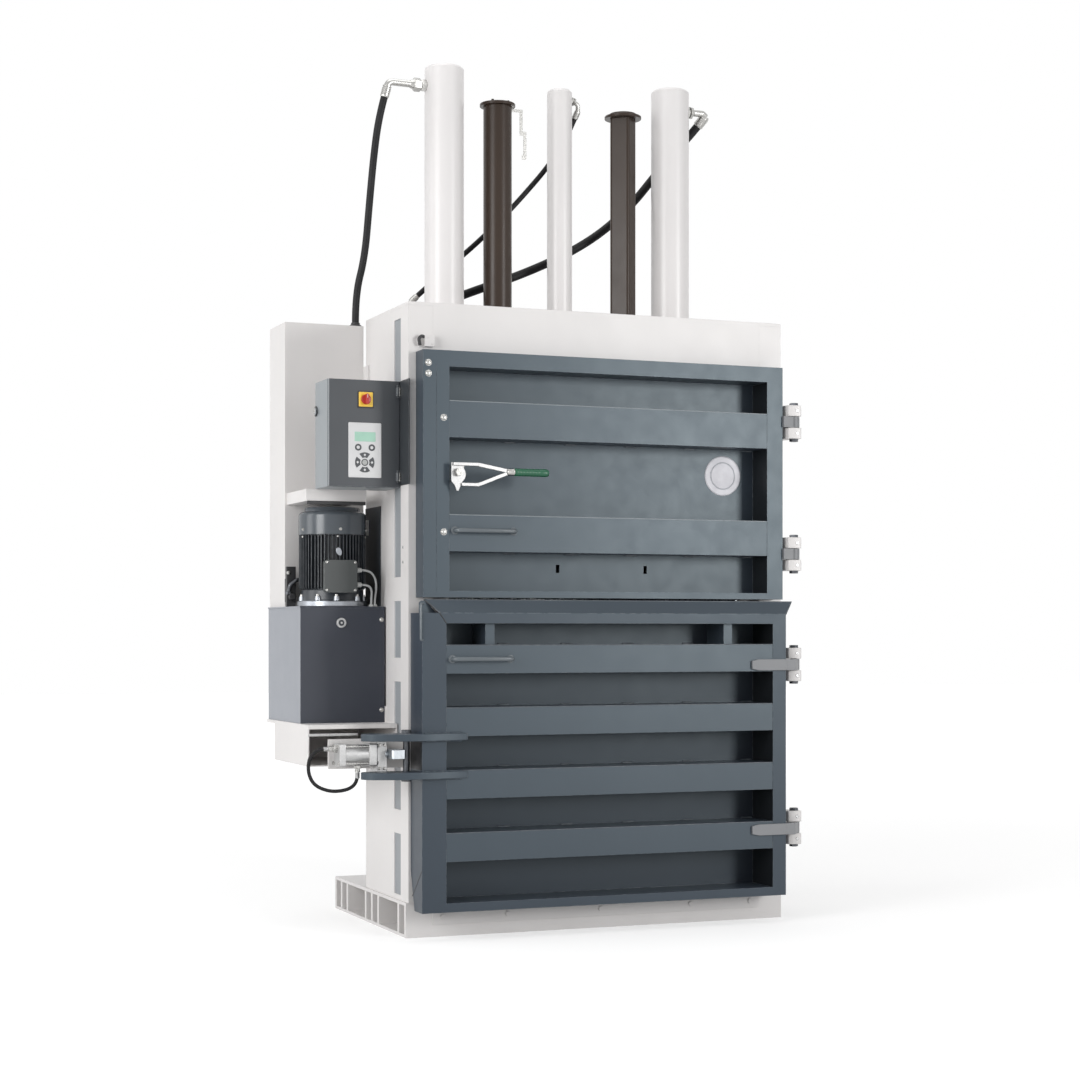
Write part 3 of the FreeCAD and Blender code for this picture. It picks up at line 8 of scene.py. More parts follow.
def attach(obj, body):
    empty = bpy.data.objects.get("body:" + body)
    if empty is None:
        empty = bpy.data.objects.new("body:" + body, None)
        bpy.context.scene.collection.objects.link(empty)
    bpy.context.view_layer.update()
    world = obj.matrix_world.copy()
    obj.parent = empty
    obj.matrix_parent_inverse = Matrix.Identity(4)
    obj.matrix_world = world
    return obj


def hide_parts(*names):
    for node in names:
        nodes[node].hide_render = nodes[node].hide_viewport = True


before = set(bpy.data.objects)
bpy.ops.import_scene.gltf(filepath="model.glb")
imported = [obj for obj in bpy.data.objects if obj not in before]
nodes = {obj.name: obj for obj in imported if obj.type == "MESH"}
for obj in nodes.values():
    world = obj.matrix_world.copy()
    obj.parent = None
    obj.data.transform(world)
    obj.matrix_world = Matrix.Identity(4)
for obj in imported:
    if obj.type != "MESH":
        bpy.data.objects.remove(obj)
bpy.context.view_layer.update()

shift = Matrix.Translation
MM = 0.001                  # mesh code is written in millimetres
LEFT_SIDE = -771            # outside of the left column
FRONT = -468                # front faces of the columns
UP, DOWN = Vector((0, 0, 1)), Vector((0, 0, -1))
OUT = Vector((0, -1, 0))    # towards whoever stands before the doors
RIGHT, LEFT = Vector((1, 0, 0)), Vector((-1, 0, 0))


def at(a, b, z):
    """A point from millimetres right of the left side, behind the front, up."""
    return Vector((a + LEFT_SIDE, b + FRONT, z))


# ---- materials
def new_material(name):
    material = bpy.data.materials.new(name)
    material.use_nodes = True
    tree = material.node_tree
    return material, tree, tree.nodes["Principled BSDF"]


def feed(value, socket):
    """Link an output to an input, or set the input's constant."""
    if isinstance(value, bpy.types.NodeSocket):
        socket.id_data.links.new(value, socket)
    else:
        socket.default_value = value


def add(tree, kind, operation=None, **values):
    """A new shader node with values or links on its named inputs."""
    node = tree.nodes.new("ShaderNode" + kind)
    if operation:
        node.operation = operation
    for socket, value in values.items():
        feed(value, node.inputs[socket])
    return node


def calc(operation, first, second=0.0):
    """A sum, product or comparison of two values."""
    known = first if isinstance(first, bpy.types.NodeSocket) else second
    node = add(known.id_data, "Math", operation)
    feed(first, node.inputs[0])
    feed(second, node.inputs[1])
    return node.outputs[0]


def noise(tree, scale, detail=4.0, stretch=(1, 1, 1)):
    """Object-space noise, drawn out along chosen axes."""
    coords = add(tree, "TexCoord")
    mapping = add(tree, "Mapping", Vector=coords.outputs["Object"], Scale=stretch)
    return add(tree, "TexNoise", Vector=mapping.outputs["Vector"], Scale=scale,
               Detail=detail, Roughness=0.55).outputs["Fac"]


def ramp(value, *stops):
    """A colour ramp; stops are (position, grey or colour)."""
    node = add(value.id_data, "ValToRGB", Fac=value)
    elements = node.color_ramp.elements
    for element, (position, colour) in zip(elements, stops):
        element.position = position
        if isinstance(colour, (int, float)):
            colour = (colour, colour, colour)
        element.color = (*colour, 1)
    return node.outputs["Color"]


def mix(factor, first, second):
    """The first colour, turning into the second as the factor grows."""
    node = add(factor.id_data, "Mix")
    node.data_type = "RGBA"
    for index, value in ((0, factor), (6, first), (7, second)):
        if isinstance(value, tuple):
            value = (*value, 1)
        feed(value, node.inputs[index])
    return node.outputs[2]


def shade(colour, factor, lift=0.0):
    """A darker or lighter tone of a colour."""
    return tuple(min(1.0, c * factor + lift) for c in colour)


def rounded_normal(tree, radius):
    """The surface normal as if every edge had a small radius."""
    bevel = add(tree, "Bevel", Radius=radius)
    bevel.samples = 4
    return bevel.outputs["Normal"]


def edge_mask(tree, radius):
    """1 on sharp edges, from the angle between a rounded and a true normal."""
    dot = add(tree, "VectorMath", "DOT_PRODUCT")
    feed(rounded_normal(tree, radius), dot.inputs[0])
    feed(add(tree, "NewGeometry").outputs["Normal"], dot.inputs[1])
    return calc("SUBTRACT", 1.0, dot.outputs["Value"])


def bump(shader, height, strength, distance, radius):
    """Fine relief, over slightly rounded edges where a radius is given."""
    node = add(shader.id_data, "Bump", Strength=strength, Distance=distance,
               Height=height)
    if radius:
        feed(rounded_normal(shader.id_data, radius), node.inputs["Normal"])
    feed(node.outputs["Normal"], shader.inputs["Normal"])


def recess_painted_shade(tree, base, sheet):
    """Painted shade: a darker sheet at the back of a ribbed door's recesses, and
    near-black inner stile sides where shade falls.
    """
    back_from, sideways_from, stile_from = 0.93, 0.7, 0.475
    coords = add(tree, "TexCoord")
    place = add(tree, "SeparateXYZ", Vector=coords.outputs["Generated"])
    normal = add(tree, "SeparateXYZ", Vector=coords.outputs["Normal"])
    # painted shade: the sheet at the back of the recess is darker than the stiles
    back = calc("GREATER_THAN", place.outputs["Y"], back_from)
    base = mix(back, base, sheet)
    sideways = calc("GREATER_THAN",
                    calc("ABSOLUTE", normal.outputs["X"]), sideways_from)
    middle = calc("ABSOLUTE", calc("SUBTRACT", place.outputs["X"], 0.5))
    within = calc("LESS_THAN", middle, stile_from)
    inner = calc("MULTIPLY", sideways, within)
    # painted shade: near-black on the inner sides of the stiles
    return mix(inner, base, (0.01, 0.011, 0.013))


def painted_grazing_sheen(tree, base, light):
    """Painted sheen: the colour turns lighter where the surface is seen at a flat
    angle, standing in for the reflection on satin enamel.
    """
    angle = add(tree, "LayerWeight", Blend=0.5).outputs["Facing"]
    return mix(ramp(angle, (0.45, 0.0), (0.8, 1.0)), base, light)


def paint(name, colour, roughness, wear, chip=(0.42, 0.44, 0.46), spread=0.1,
          peel=900, radius=0.0015, sheet=None, painted_sheen=None, gloss=0.5,
          gloss_tint=(1, 1, 1)):
    """Powder coat: orange peel, cloudy tone, rubbed edges and faint smears, with
    painted recess shade and a painted grazing sheen where asked.
    """
    material, tree, shader = new_material(name)
    base = ramp(noise(tree, 2.2, 5), (0.3, shade(colour, 1 - spread)),
                (0.72, shade(colour, 1 + spread * 0.6)))
    smear = ramp(noise(tree, 5, 6, (1, 1, 0.18)), (0.5, 0.0), (0.85, 1.0))
    base = mix(calc("MULTIPLY", smear, 0.08), base,
               shade(colour, 1.25, 0.03))
    # painted shade in the recesses of ribbed doors
    if sheet:
        base = recess_painted_shade(tree, base, sheet)
    # painted sheen at flat viewing angles
    if painted_sheen:
        base = painted_grazing_sheen(tree, base, painted_sheen)
    if wear:
        edge = edge_mask(tree, radius * 1.6)
        broken = ramp(noise(tree, 38, 6), (0.46, 0.0), (0.66, 1.0))
        worn = calc("MULTIPLY", calc("MULTIPLY", edge, broken), 14 * wear)
        base = mix(calc("MINIMUM", worn, wear), base, chip)
    feed(base, shader.inputs["Base Color"])
    feed(ramp(noise(tree, 14, 5), (0.3, roughness - 0.02),
                    (0.75, roughness + 0.04)), shader.inputs["Roughness"])
    shader.inputs["Specular IOR Level"].default_value = gloss
    shader.inputs["Specular Tint"].default_value = (*gloss_tint, 1)
    bump(shader, noise(tree, peel, 2), 0.1, 0.0004, radius)
    return material


def metal(name, colour, roughness, grain, scale, spread, metallic=1.0):
    """Machined or plated metal with drawn grain and dull spots."""
    material, tree, shader = new_material(name)
    streak = noise(tree, scale, 5, grain)
    tone = ramp(streak, (0.3, shade(colour, 1 - spread)),
                (0.7, shade(colour, 1 + spread)))
    stain = ramp(noise(tree, 9, 6), (0.52, 0.0), (0.8, 1.0))
    tone = mix(calc("MULTIPLY", stain, 0.35), tone, shade(colour, 0.62))
    feed(tone, shader.inputs["Base Color"])
    feed(ramp(streak, (0.3, roughness - 0.08), (0.75, roughness + 0.12)),
         shader.inputs["Roughness"])
    shader.inputs["Metallic"].default_value = metallic
    bump(shader, streak, 0.08, 0.0003, 0.0006)
    return material


def rubber(name, colour, roughness):
    """Matt hose cover with a fine grain."""
    material, tree, shader = new_material(name)
    feed(ramp(noise(tree, 12, 5), (0.3, shade(colour, 0.75)),
                    (0.8, shade(colour, 1.5, 0.004))), shader.inputs["Base Color"])
    shader.inputs["Roughness"].default_value = roughness
    shader.inputs["Specular IOR Level"].default_value = 0.25
    bump(shader, noise(tree, 420, 3), 0.25, 0.0004, 0.0)
    return material


def plastic(name, colour, roughness, spread=0.06, grain=700):
    """Moulded plastic or film with a slightly uneven tone."""
    material, tree, shader = new_material(name)
    feed(ramp(noise(tree, 6, 4), (0.3, shade(colour, 1 - spread)),
                    (0.75, shade(colour, 1 + spread))), shader.inputs["Base Color"])
    feed(ramp(noise(tree, 40, 4), (0.3, roughness),
                    (0.8, roughness + 0.12)), shader.inputs["Roughness"])
    bump(shader, noise(tree, grain, 2), 0.08, 0.0002, 0.0006)
    return material


def dress(material, *names):
    """Give the CAD nodes that stay visible their material."""
    for name in names:
        nodes[name].data.materials.clear()
        nodes[name].data.materials.append(material)


# ---- mesh tools
def place_in_scene(name, data):
    thing = bpy.data.objects.new(name, data)
    bpy.context.scene.collection.objects.link(thing)
    return thing


def piece(material, body="frame", smooth=30.0, bevel=0.0, instead=None,
          name=None):
    """Turn a function that fills a bmesh in millimetres into an object on a body.

    The object takes the function's name, and may stand in for a CAD node."""
    def make(mesh_code):
        label = name or mesh_code.__name__
        bm = bmesh.new()
        mesh_code(bm)
        bm.transform(Matrix.Scale(MM, 4))
        bmesh.ops.recalc_face_normals(bm, faces=bm.faces)
        data = bpy.data.meshes.new(label)
        bm.to_mesh(data)
        bm.free()
        thing = place_in_scene(label, data)
        data.materials.append(material)
        if bevel:
            edge = thing.modifiers.new("Edges", "BEVEL")
            edge.width = bevel * MM
            edge.segments = 2
            edge.limit_method = "ANGLE"
            edge.angle_limit = math.radians(40)
        if smooth:
            data.polygons.foreach_set("use_smooth", [True] * len(data.polygons))
            data.set_sharp_from_angle(angle=math.radians(smooth))
        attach(thing, body)
        if instead:
            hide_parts(instead)
        return thing
    return make


def circle(degrees, radius=1.0):
    turn = math.radians(degrees)
    return radius * math.cos(turn), radius * math.sin(turn)


def axes(right, up, out):
    return Matrix((right, up, out)).transposed().to_4x4()


def facing(point, out=OUT, up=UP):
    """Axes of a face: u to the right, v up and the normal outwards."""
    return shift(point) @ axes(up.cross(out).normalized(), up, out)


def box(bm, low, high):
    """An axis-aligned block between two corners."""
    low, high = Vector(low), Vector(high)
    middle, size = (low + high) / 2, high - low
    for vert in bmesh.ops.create_cube(bm, size=1.0)["verts"]:
        vert.co = Vector(vert.co[i] * size[i] for i in range(3)) + middle


def lathe(bm, profile, foot, axis=UP, sides=24, start=0.0):
    """Turn a profile of (radius, height) points about an axis."""
    axis = Vector(axis).normalized()
    turn = shift(foot) @ axis.to_track_quat("Z", "Y").to_matrix().to_4x4()
    rings = []
    for radius, height in profile:
        spots = [circle(start + 360 * k / sides, radius) for k in range(sides)]
        rings.append([bm.verts.new(turn @ Vector((*spot, height)))
                      for spot in spots[:sides if radius else 1]])
    for first, second in zip(rings, rings[1:]):
        if len(first) == len(second) == 1:
            continue
        for index in range(sides):
            after = (index + 1) % sides
            if len(first) == 1:
                bm.faces.new((first[0], second[after], second[index]))
            elif len(second) == 1:
                bm.faces.new((first[index], first[after], second[0]))
            else:
                bm.faces.new((first[index], first[after], second[after], second[index]))
    for ring in (rings[0], rings[-1]):
        if len(ring) > 1:
            bm.faces.new(ring)


def rod(bm, foot, axis, radius, length, sides=24):
    """A plain cylinder or washer."""
    lathe(bm, [(0, 0), (radius, 0), (radius, length), (0, length)], foot, axis, sides)


def hexagon(bm, foot, axis, across, height, spin=0.0):
    """A hexagonal head or nut with chamfered corners."""
    reach = across / math.sqrt(3)
    lathe(bm, [(0, 0), (reach, 0), (reach, height * 0.86), (reach * 0.9, height),
               (0, height)], foot, axis, 6, spin)


def screw(bm, foot, axis, across, height, washer):
    """A hexagon screw head on a washer."""
    thick, chamfer = 1.8, 0.6
    lathe(bm, [(0, 0), (washer, 0), (washer, thick - chamfer),
               (washer - chamfer, thick), (0, thick)], foot, axis)
    hexagon(bm, Vector(foot) + Vector(axis) * thick, axis, across, height)


def domed(bm, foot, axis, radius, height):
    lathe(bm, [(0, 0), (radius, 0), (radius, height * 0.25),
               (radius * 0.86, height * 0.66), (radius * 0.55, height * 0.92),
               (0, height)], foot, axis, 20)


def slab(bm, outline, thick, matrix):
    """An outline of (u, v) points given a thickness along its normal."""
    low, high = ([bm.verts.new(matrix @ Vector((u, v, w))) for u, v in outline]
                 for w in (0, thick))
    bm.faces.new(low)
    bm.faces.new(list(reversed(high)))
    count = len(outline)
    for index in range(count):
        after = (index + 1) % count
        bm.faces.new((low[index], high[index], high[after], low[after]))


def plate(bm, u0, v0, u1, v1, radius, thick, matrix, steps=5):
    """A slab with a rounded rectangle as its outline."""
    points = []
    for cu, cv, start in ((u1 - radius, v1 - radius, 0), (u0 + radius, v1 - radius, 90),
                          (u0 + radius, v0 + radius, 180),
                          (u1 - radius, v0 + radius, 270)):
        for step in range(steps + 1):
            du, dv = circle(start + 90 * step / steps, radius)
            points.append((cu + du, cv + dv))
    slab(bm, points, thick, matrix)


def rounded(points, radius, steps=6):
    """A run of points whose inner corners are arcs of one radius."""
    points = [Vector(p) for p in points]
    result = [points[0]]
    for before, corner, after in zip(points, points[1:], points[2:]):
        arrive, leave = (before - corner).normalized(), (after - corner).normalized()
        half = arrive.angle(leave) / 2
        reach = radius / math.tan(half)
        middle = corner + (arrive + leave).normalized() * (radius / math.sin(half))
        first, last = corner + arrive * reach - middle, corner + leave * reach - middle
        for step in range(steps + 1):
            result.append(middle + first.slerp(last, step / steps) * radius)
    return result + [points[-1]]


def sweep(bm, points, radius, sides=16):
    """A tube along points, with its section carried on without twisting."""
    points = [Vector(p) for p in points]
    last, side, rings = len(points) - 1, None, []
    for index, point in enumerate(points):
        ahead = (points[min(index + 1, last)] - points[max(index - 1, 0)]).normalized()
        side = side or ahead.orthogonal().normalized()
        side = (side - ahead * side.dot(ahead)).normalized()
        other = ahead.cross(side)
        rings.append([])
        for k in range(sides):
            u, v = circle(360 * k / sides, radius)
            rings[-1].append(bm.verts.new(point + side * u + other * v))
    for first, second in zip(rings, rings[1:]):
        for k in range(sides):
            after = (k + 1) % sides
            bm.faces.new((first[k], first[after], second[after], second[k]))
    bm.faces.new(rings[0])
    bm.faces.new(rings[-1])


def beads(bm, spots, radius, stretch=1.0):
    """The overlapping ripples of a weld."""
    for spot in spots:
        made = bmesh.ops.create_uvsphere(bm, u_segments=8, v_segments=5, radius=radius)
        for vert in made["verts"]:
            vert.co = Vector((vert.co.x * stretch, vert.co.y, vert.co.z)) + spot


# ---- camera, stage, light
view = bpy.data.cameras.new("View")
camera = place_in_scene("View", view)
bpy.context.scene.camera = camera
camera.location = (-3.197, -7.797, 1.1255)
camera.rotation_euler = (math.radians(90), 0, math.radians(-21.9))
view.lens, view.sensor_width, view.shift_y = 70, 36, 0.0852
view.clip_end = 100
bpy.context.scene.view_settings.view_transform = "Standard"


def seen_ray(tree):
    """1 for rays that show the stage itself: to the camera, in gloss, through glass."""
    rays = add(tree, "LightPath").outputs
    seen = calc("MAXIMUM", rays["Is Camera Ray"], rays["Is Glossy Ray"])
    return calc("MAXIMUM", seen, rays["Is Transmission Ray"])


world_level = 0.38          # light of the world on the object
floor_glow = 0.47           # added to the floor where it is seen, near the object
far_glow = 0.8              # and far from it, where the lamps fade
floor_reach = 11.0          # metres from near to far
floor_half = 30             # half the side of the floor, metres
world = bpy.data.worlds.new("Studio")
bpy.context.scene.world = world
world.use_nodes = True
tree = world.node_tree
backdrop = tree.nodes["Background"].inputs
backdrop["Color"].default_value = (1, 1, 1, 1)
level = calc("MULTIPLY", seen_ray(tree), 1.0 - world_level)
feed(calc("ADD", level, world_level), backdrop["Strength"])

floor_paint, tree, shader = new_material("StudioFloor")
shader.inputs["Roughness"].default_value = 0.9
feed(ramp(noise(tree, 1.1, 4), (0.3, 0.715), (0.7, 0.725)),
     shader.inputs["Base Color"])
away = add(tree, "VectorMath", "LENGTH")
feed(add(tree, "TexCoord").outputs["Object"], away.inputs[0])
share = calc("DIVIDE", away.outputs["Value"], floor_reach)
lift = ramp(share, (0.15, floor_glow), (1.0, far_glow))
glow = add(tree, "Emission", Strength=calc("MULTIPLY", seen_ray(tree), lift))
both = add(tree, "AddShader")
feed(shader.outputs[0], both.inputs[0])
feed(glow.outputs[0], both.inputs[1])
feed(both.outputs[0], tree.nodes["Material Output"].inputs["Surface"])
floor_data = bpy.data.meshes.new("StudioFloor")
floor_data.from_pydata([(x * floor_half, y * floor_half, 0) for x, y in (
    (-1, -1), (1, -1), (1, 1), (-1, 1))], [], [(0, 1, 2, 3)])
floor = place_in_scene("StudioFloor", floor_data)
floor_data.materials.append(floor_paint)

for name, place, target, (width, height), power in (
        ("KeyLamp", (4.3, -7.9, 2.6), (0, -0.4, 1.5), (1.7, 3.0), 285),
        ("FillLamp", (-6.6, -3.6, 2.8), (-0.5, -0.2, 1.4), (3.0, 3.4), 230),
        ("SideLamp", (-6.2, 0.7, 2.6), (-0.6, 0, 1.9), (2.2, 3.4), 65),
        ("TopLamp", (-0.5, -0.5, 6.4), (0, 0, 1.0), (3.5, 3.5), 70)):
    lamp = bpy.data.lights.new(name, "AREA")
    lamp.shape = "RECTANGLE"
    lamp.size, lamp.size_y, lamp.energy = width, height, power
    holder = place_in_scene(name, lamp)
    holder.location = place
    ahead = Vector(target) - Vector(place)
    holder.rotation_euler = ahead.to_track_quat("-Z", "Y").to_euler()


# ---- finishes
slate_gloss = (0.84, 0.96, 1.0)      # cool tint of the slate paint's highlights
slate_chip, dark_chip = (0.3, 0.33, 0.35), (0.28, 0.3, 0.33)
steel_chip, pale_chip = (0.36, 0.38, 0.4), (0.4, 0.42, 0.44)
white_paint = paint("FramePaint", (0.74, 0.72, 0.71), 0.38, 0.22, (0.45, 0.44, 0.43),
                    0.035)
barrel_paint = paint("BarrelPaint", (0.76, 0.74, 0.735), 0.3, 0.12, (0.5, 0.49, 0.48),
                     0.03)
sheet_paint = paint("DoorSheetPaint", (0.028, 0.037, 0.05), 0.36, 0.35,
                    (0.26, 0.28, 0.3), gloss_tint=slate_gloss)
# The sheet colours are painted shade at the back of the door recesses.
door_paint, upper_shell_paint, lower_shell_paint = (
    paint(name, colour, roughness, 0.45, slate_chip, 0.06, sheet=sheet, gloss=gloss,
          gloss_tint=slate_gloss) for name, colour, roughness, sheet, gloss in (
        ("DoorPaint", (0.04, 0.052, 0.068), 0.36, None, 0.5),
        ("UpperDoorPaint", (0.038, 0.051, 0.067), 0.36, (0.026, 0.035, 0.049), 0.5),
        ("LowerDoorPaint", (0.036, 0.046, 0.062), 0.38, (0.018, 0.023, 0.034), 0.4)))
# For the welds, and also on the rail and lip edges, where its lighter tone is a painted
# highlight.
weld_and_highlight_paint = paint("WeldAndHighlightPaint", (0.07, 0.084, 0.1), 0.34, 0.5, (0.34, 0.36, 0.38), 0.12)
# A light slate for a painted highlight along the rib edges.
edge_highlight_paint = paint("EdgeHighlightPaint", (0.24, 0.27, 0.29), 0.34, 0.3)
handle_paint = paint("HandlePaint", (0.12, 0.14, 0.155), 0.2, 0.55, pale_chip)
# The light tones given here are a painted sheen where these surfaces are seen at a flat
# angle.
tank_paint = paint("TankPaint", (0.024, 0.029, 0.043), 0.34, 0.4, dark_chip, 0.08,
                   painted_sheen=(0.3, 0.32, 0.36))
cabinet_paint = paint("CabinetPaint", (0.052, 0.058, 0.066), 0.34, 0.4, dark_chip, 0.08,
                      painted_sheen=(0.3, 0.33, 0.35))
# Darker than the cabinet's paint and without sheen: painted shade on the panel.
panel_shade_paint = paint("PanelShadePaint", (0.034, 0.039, 0.044), 0.36, 0.4, dark_chip, 0.08)
guide_coat = paint("GuideEnamel", (0.034, 0.021, 0.014), 0.3, 0.12, (0.2, 0.17, 0.15),
                   0.14, peel=1400, radius=0.0008, gloss=0.3)
motor_paint = paint("MotorPaint", (0.034, 0.04, 0.048), 0.3, 0.3, (0.34, 0.36, 0.38))
cowl_paint = paint("CowlPaint", (0.075, 0.088, 0.102), 0.2, 0.3, pale_chip, 0.08)
leaf_paint = paint("LeafPaint", (0.22, 0.225, 0.235), 0.5, 0.3, (0.36, 0.37, 0.38),
                   0.12)
# Mid grey: painted shade for the inside of the columns seen through the slots.
slot_shade_paint = paint("SlotShadePaint", (0.3, 0.32, 0.34), 0.5, 0.0, spread=0.06)
box_paint = paint("BoxPaint", (0.052, 0.058, 0.058), 0.36, 0.55, steel_chip, 0.08)
bright_steel = metal("BrightSteel", (0.6, 0.61, 0.62), 0.28, (14, 1, 1), 60, 0.1)
chrome_rod = metal("HardChrome", (0.72, 0.73, 0.74), 0.12, (1, 1, 20), 80, 0.04)
zinc = metal("ZincPlate", (0.46, 0.455, 0.44), 0.26, (3, 3, 3), 70, 0.14)
light_zinc = metal("LightZinc", (0.5, 0.5, 0.5), 0.36, (3, 3, 3), 60, 0.1, 0.6)
pale_steel = metal("PaleSteel", (0.48, 0.51, 0.54), 0.34, (8, 1, 1), 60, 0.1)
dull_zinc = metal("DullZinc", (0.4, 0.4, 0.4), 0.4, (4, 4, 4), 40, 0.16)
dark_steel = metal("DarkSteel", (0.1, 0.105, 0.115), 0.38, (2, 2, 2), 50, 0.2, 0.8)
cast_alloy = metal("CastAlloy", (0.36, 0.38, 0.41), 0.34, (2, 2, 2), 90, 0.14)
hose_rubber = rubber("HoseRubber", (0.008, 0.008, 0.009), 0.55)
cable_sheath = rubber("CableSheath", (0.3, 0.31, 0.31), 0.42)
# For black parts, and also for the painted shadows at the lower stile and under the
# cable duct.
black_plastic_and_shade = plastic("BlackPlasticAndShade", (0.018, 0.018, 0.02), 0.4)
grip_rubber = plastic("GripVinyl", (0.01, 0.105, 0.05), 0.26, 0.18, 300)
light_plastic = plastic("KeypadFilm", (0.66, 0.66, 0.665), 0.34)
key_plastic = plastic("KeyFilm", (0.055, 0.06, 0.066), 0.38)
lcd_glass = plastic("DisplayGlass", (0.38, 0.62, 0.5), 0.16, 0.1)
yellow_plastic = plastic("YellowPlastic", (0.86, 0.56, 0.055), 0.34)
red_plastic = plastic("RedPlastic", (0.42, 0.018, 0.012), 0.3)
disc_film = plastic("DiscFilm", (0.58, 0.575, 0.62), 0.3, 0.22)
disc_line = plastic("DiscLine", (0.34, 0.36, 0.39), 0.34, 0.08)
gear_plastic = plastic("GearPlastic", (0.42, 0.43, 0.42), 0.42)

dress(white_paint, "base_frame", "base_sill", "column_left", "column_right",
      "crosshead", "hose_cover", "lock_bracket", "tank_console", "cable_duct")
dress(barrel_paint, "barrels")
dress(upper_shell_paint, "upper_door_shell")
dress(lower_shell_paint, "lower_door_shell")
dress(door_paint, "upper_door_ribs", "lower_door_rails", "lower_door_hooks",
      "lower_door_lip")
dress(tank_paint, "oil_tank", "tank_lid")
dress(cabinet_paint, "cabinet_body", "cabinet_door")
dress(panel_shade_paint, "cabinet_panel")
dress(guide_coat, "guide_tubes")
dress(bright_steel, "chamber_liner", "chamber_floor", "platen")
dress(chrome_rod, "piston_rods")
dress(zinc, "switch_strip", "latch_bracket")
dress(cast_alloy, "motor_rotor")
dress(gear_plastic, "cabinet_gear")


# ---- hoses and cables
def cord(node_name, diameter, length, material, stiffness, *route):
    """One free hose or cable on the smooth line of its route, in millimetres."""
    name = f"line_{node_name}"
    points = [at(*spot) for spot in route]
    curve = bpy.data.curves.new(name, "CURVE")
    curve.dimensions = "3D"
    curve.bevel_depth = diameter / 2
    curve.bevel_resolution = 5
    curve.resolution_u = 8
    spline = curve.splines.new("NURBS")
    spline.points.add(len(points) - 1)
    for spline_point, point in zip(spline.points, points):
        spline_point.co = (*(point * MM), 1)
    spline.order_u = 3
    spline.use_endpoint_u = True
    thing = place_in_scene(name, curve)
    curve.materials.append(material)
    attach(thing, "frame")
    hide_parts(node_name)
    return points


hose_left = cord("hose_left", 0.028, 0.88, hose_rubber, "stiff", (40, 415, 3192),
                 (20, 424, 3110), (8, 448, 2975), (3, 492, 2790), (-2, 534, 2590),
                 (-28, 575, 2450), (-28, 575, 2334))
hose_middle = cord("hose_middle", 0.021, 1.009, hose_rubber, "stiff",
                   (846, 437, 3186), (826, 456, 3128), (790, 478, 3057),
                   (744, 495, 2985), (672, 503, 2899), (590, 508, 2807),
                   (470, 512, 2684), (330, 511, 2562), (196, 494, 2440))
hose_right = cord("hose_right", 0.034, 1.347, hose_rubber, "stiff", (1400, 448, 3208),
                  (1372, 474, 3166), (1318, 500, 3104), (1240, 518, 3005),
                  (1140, 526, 2880), (1005, 527, 2754), (840, 527, 2650),
                  (640, 527, 2556), (450, 526, 2484), (345, 517, 2440))
cord("lock_hose", 0.013, 0.39, hose_rubber, "medium",
     (-312, -27, 704), (-352, -27, 704), (-383, -26, 675), (-388, -24, 622),
     (-365, -23, 574), (-308, -23, 550), (-252, -25, 552), (-219, -27, 566),
     (-203, -27, 592), (-203, -27, 618))
cord("motor_cable_upper", 0.008, 0.169, cable_sheath, "limp",
     (-101, 254, 1358), (-70, 254, 1358), (-44, 260, 1328), (-38, 270, 1288),
     (-42, 278, 1254), (-42, 278, 1230))
cord("motor_cable_lower", 0.008, 0.106, cable_sheath, "limp",
     (-101, 254, 1303), (-74, 254, 1303), (-58, 262, 1283), (-57, 274, 1256),
     (-57, 274, 1230))


# ---- hose fittings
def hose_fitting(name, ends, hose, port, knee, pipe, across, union=0.55, instead=None):
    """Crimped ferrule, bent pipe, union nut and adapter on one end of a hose."""
    tip, inner = ends
    port, knee = at(*port), at(*knee)
    ahead = (tip - inner).normalized()
    away = (knee - port).normalized()
    crimp, nut = hose * 1.25, across * union
    long = crimp * 2.2

    @piece(zinc, instead=instead, name=name)
    def fitting(bm):
        profile = [(0, -3), (hose * 1.06, -3), (crimp * 0.97, 0)]
        for ring in range(5):
            start = long * (0.06 + 0.17 * ring)
            profile += [(crimp, start), (crimp, start + long * 0.1),
                        (crimp * 0.91, start + long * 0.115),
                        (crimp * 0.91, start + long * 0.155)]
        profile += [(crimp * 0.88, long), (pipe * 1.3, long * 1.01),
                    (pipe * 1.3, long * 1.07), (0, long * 1.07)]
        lathe(bm, profile, tip, ahead, 28)
        sweep(bm, rounded([port + away * nut * 0.9, knee, tip + ahead * long],
                          pipe * 1.6, 10), pipe, 20)
        hexagon(bm, port - away * 3, away, across * 0.86, nut * 0.36 + 3)
        lathe(bm, [(across * 0.36, nut * 0.34), (across * 0.36, nut * 0.46),
                   (0, nut * 0.46)], port, away)
        hexagon(bm, port + away * nut * 0.46, away, across, nut * 0.5, 22.918)
        lathe(bm, [(0, nut * 0.94), (across * 0.44, nut * 0.94),
                   (across * 0.4, nut * 1.02), (pipe * 1.1, nut * 1.22),
                   (0, nut * 1.22)], port, away)


hose_fitting("fitting_left", hose_left[:2], 14, (207, 415, 3250), (54, 409, 3250), 13.5,
             46, 1.15, "hose_fittings")
hose_fitting("fitting_middle", hose_middle[:2], 10.5, (821, 417, 3250),
             (856, 427, 3238), 9, 30)
hose_fitting("fitting_middle_low", hose_middle[:-3:-1], 10.5, (160, 489, 2340),
             (160, 489, 2408), 9, 30)
hose_fitting("fitting_right", hose_right[:2], 17, (1335, 417, 3250), (1409, 421, 3252),
             13, 44)
hose_fitting("fitting_right_low", hose_right[:-3:-1], 17, (296, 509, 2340),
             (296, 509, 2418), 13, 32)


@piece(black_plastic_and_shade, smooth=35)
def cover_grommet(bm):
    """The rubber ring where the left hose enters the tall cover."""
    lathe(bm, [(13.5, -1), (22, -1), (24, 3), (23.5, 6), (18, 9), (17.2, 16),
               (13.5, 17)], at(-28, 575, 2320), UP, 28)


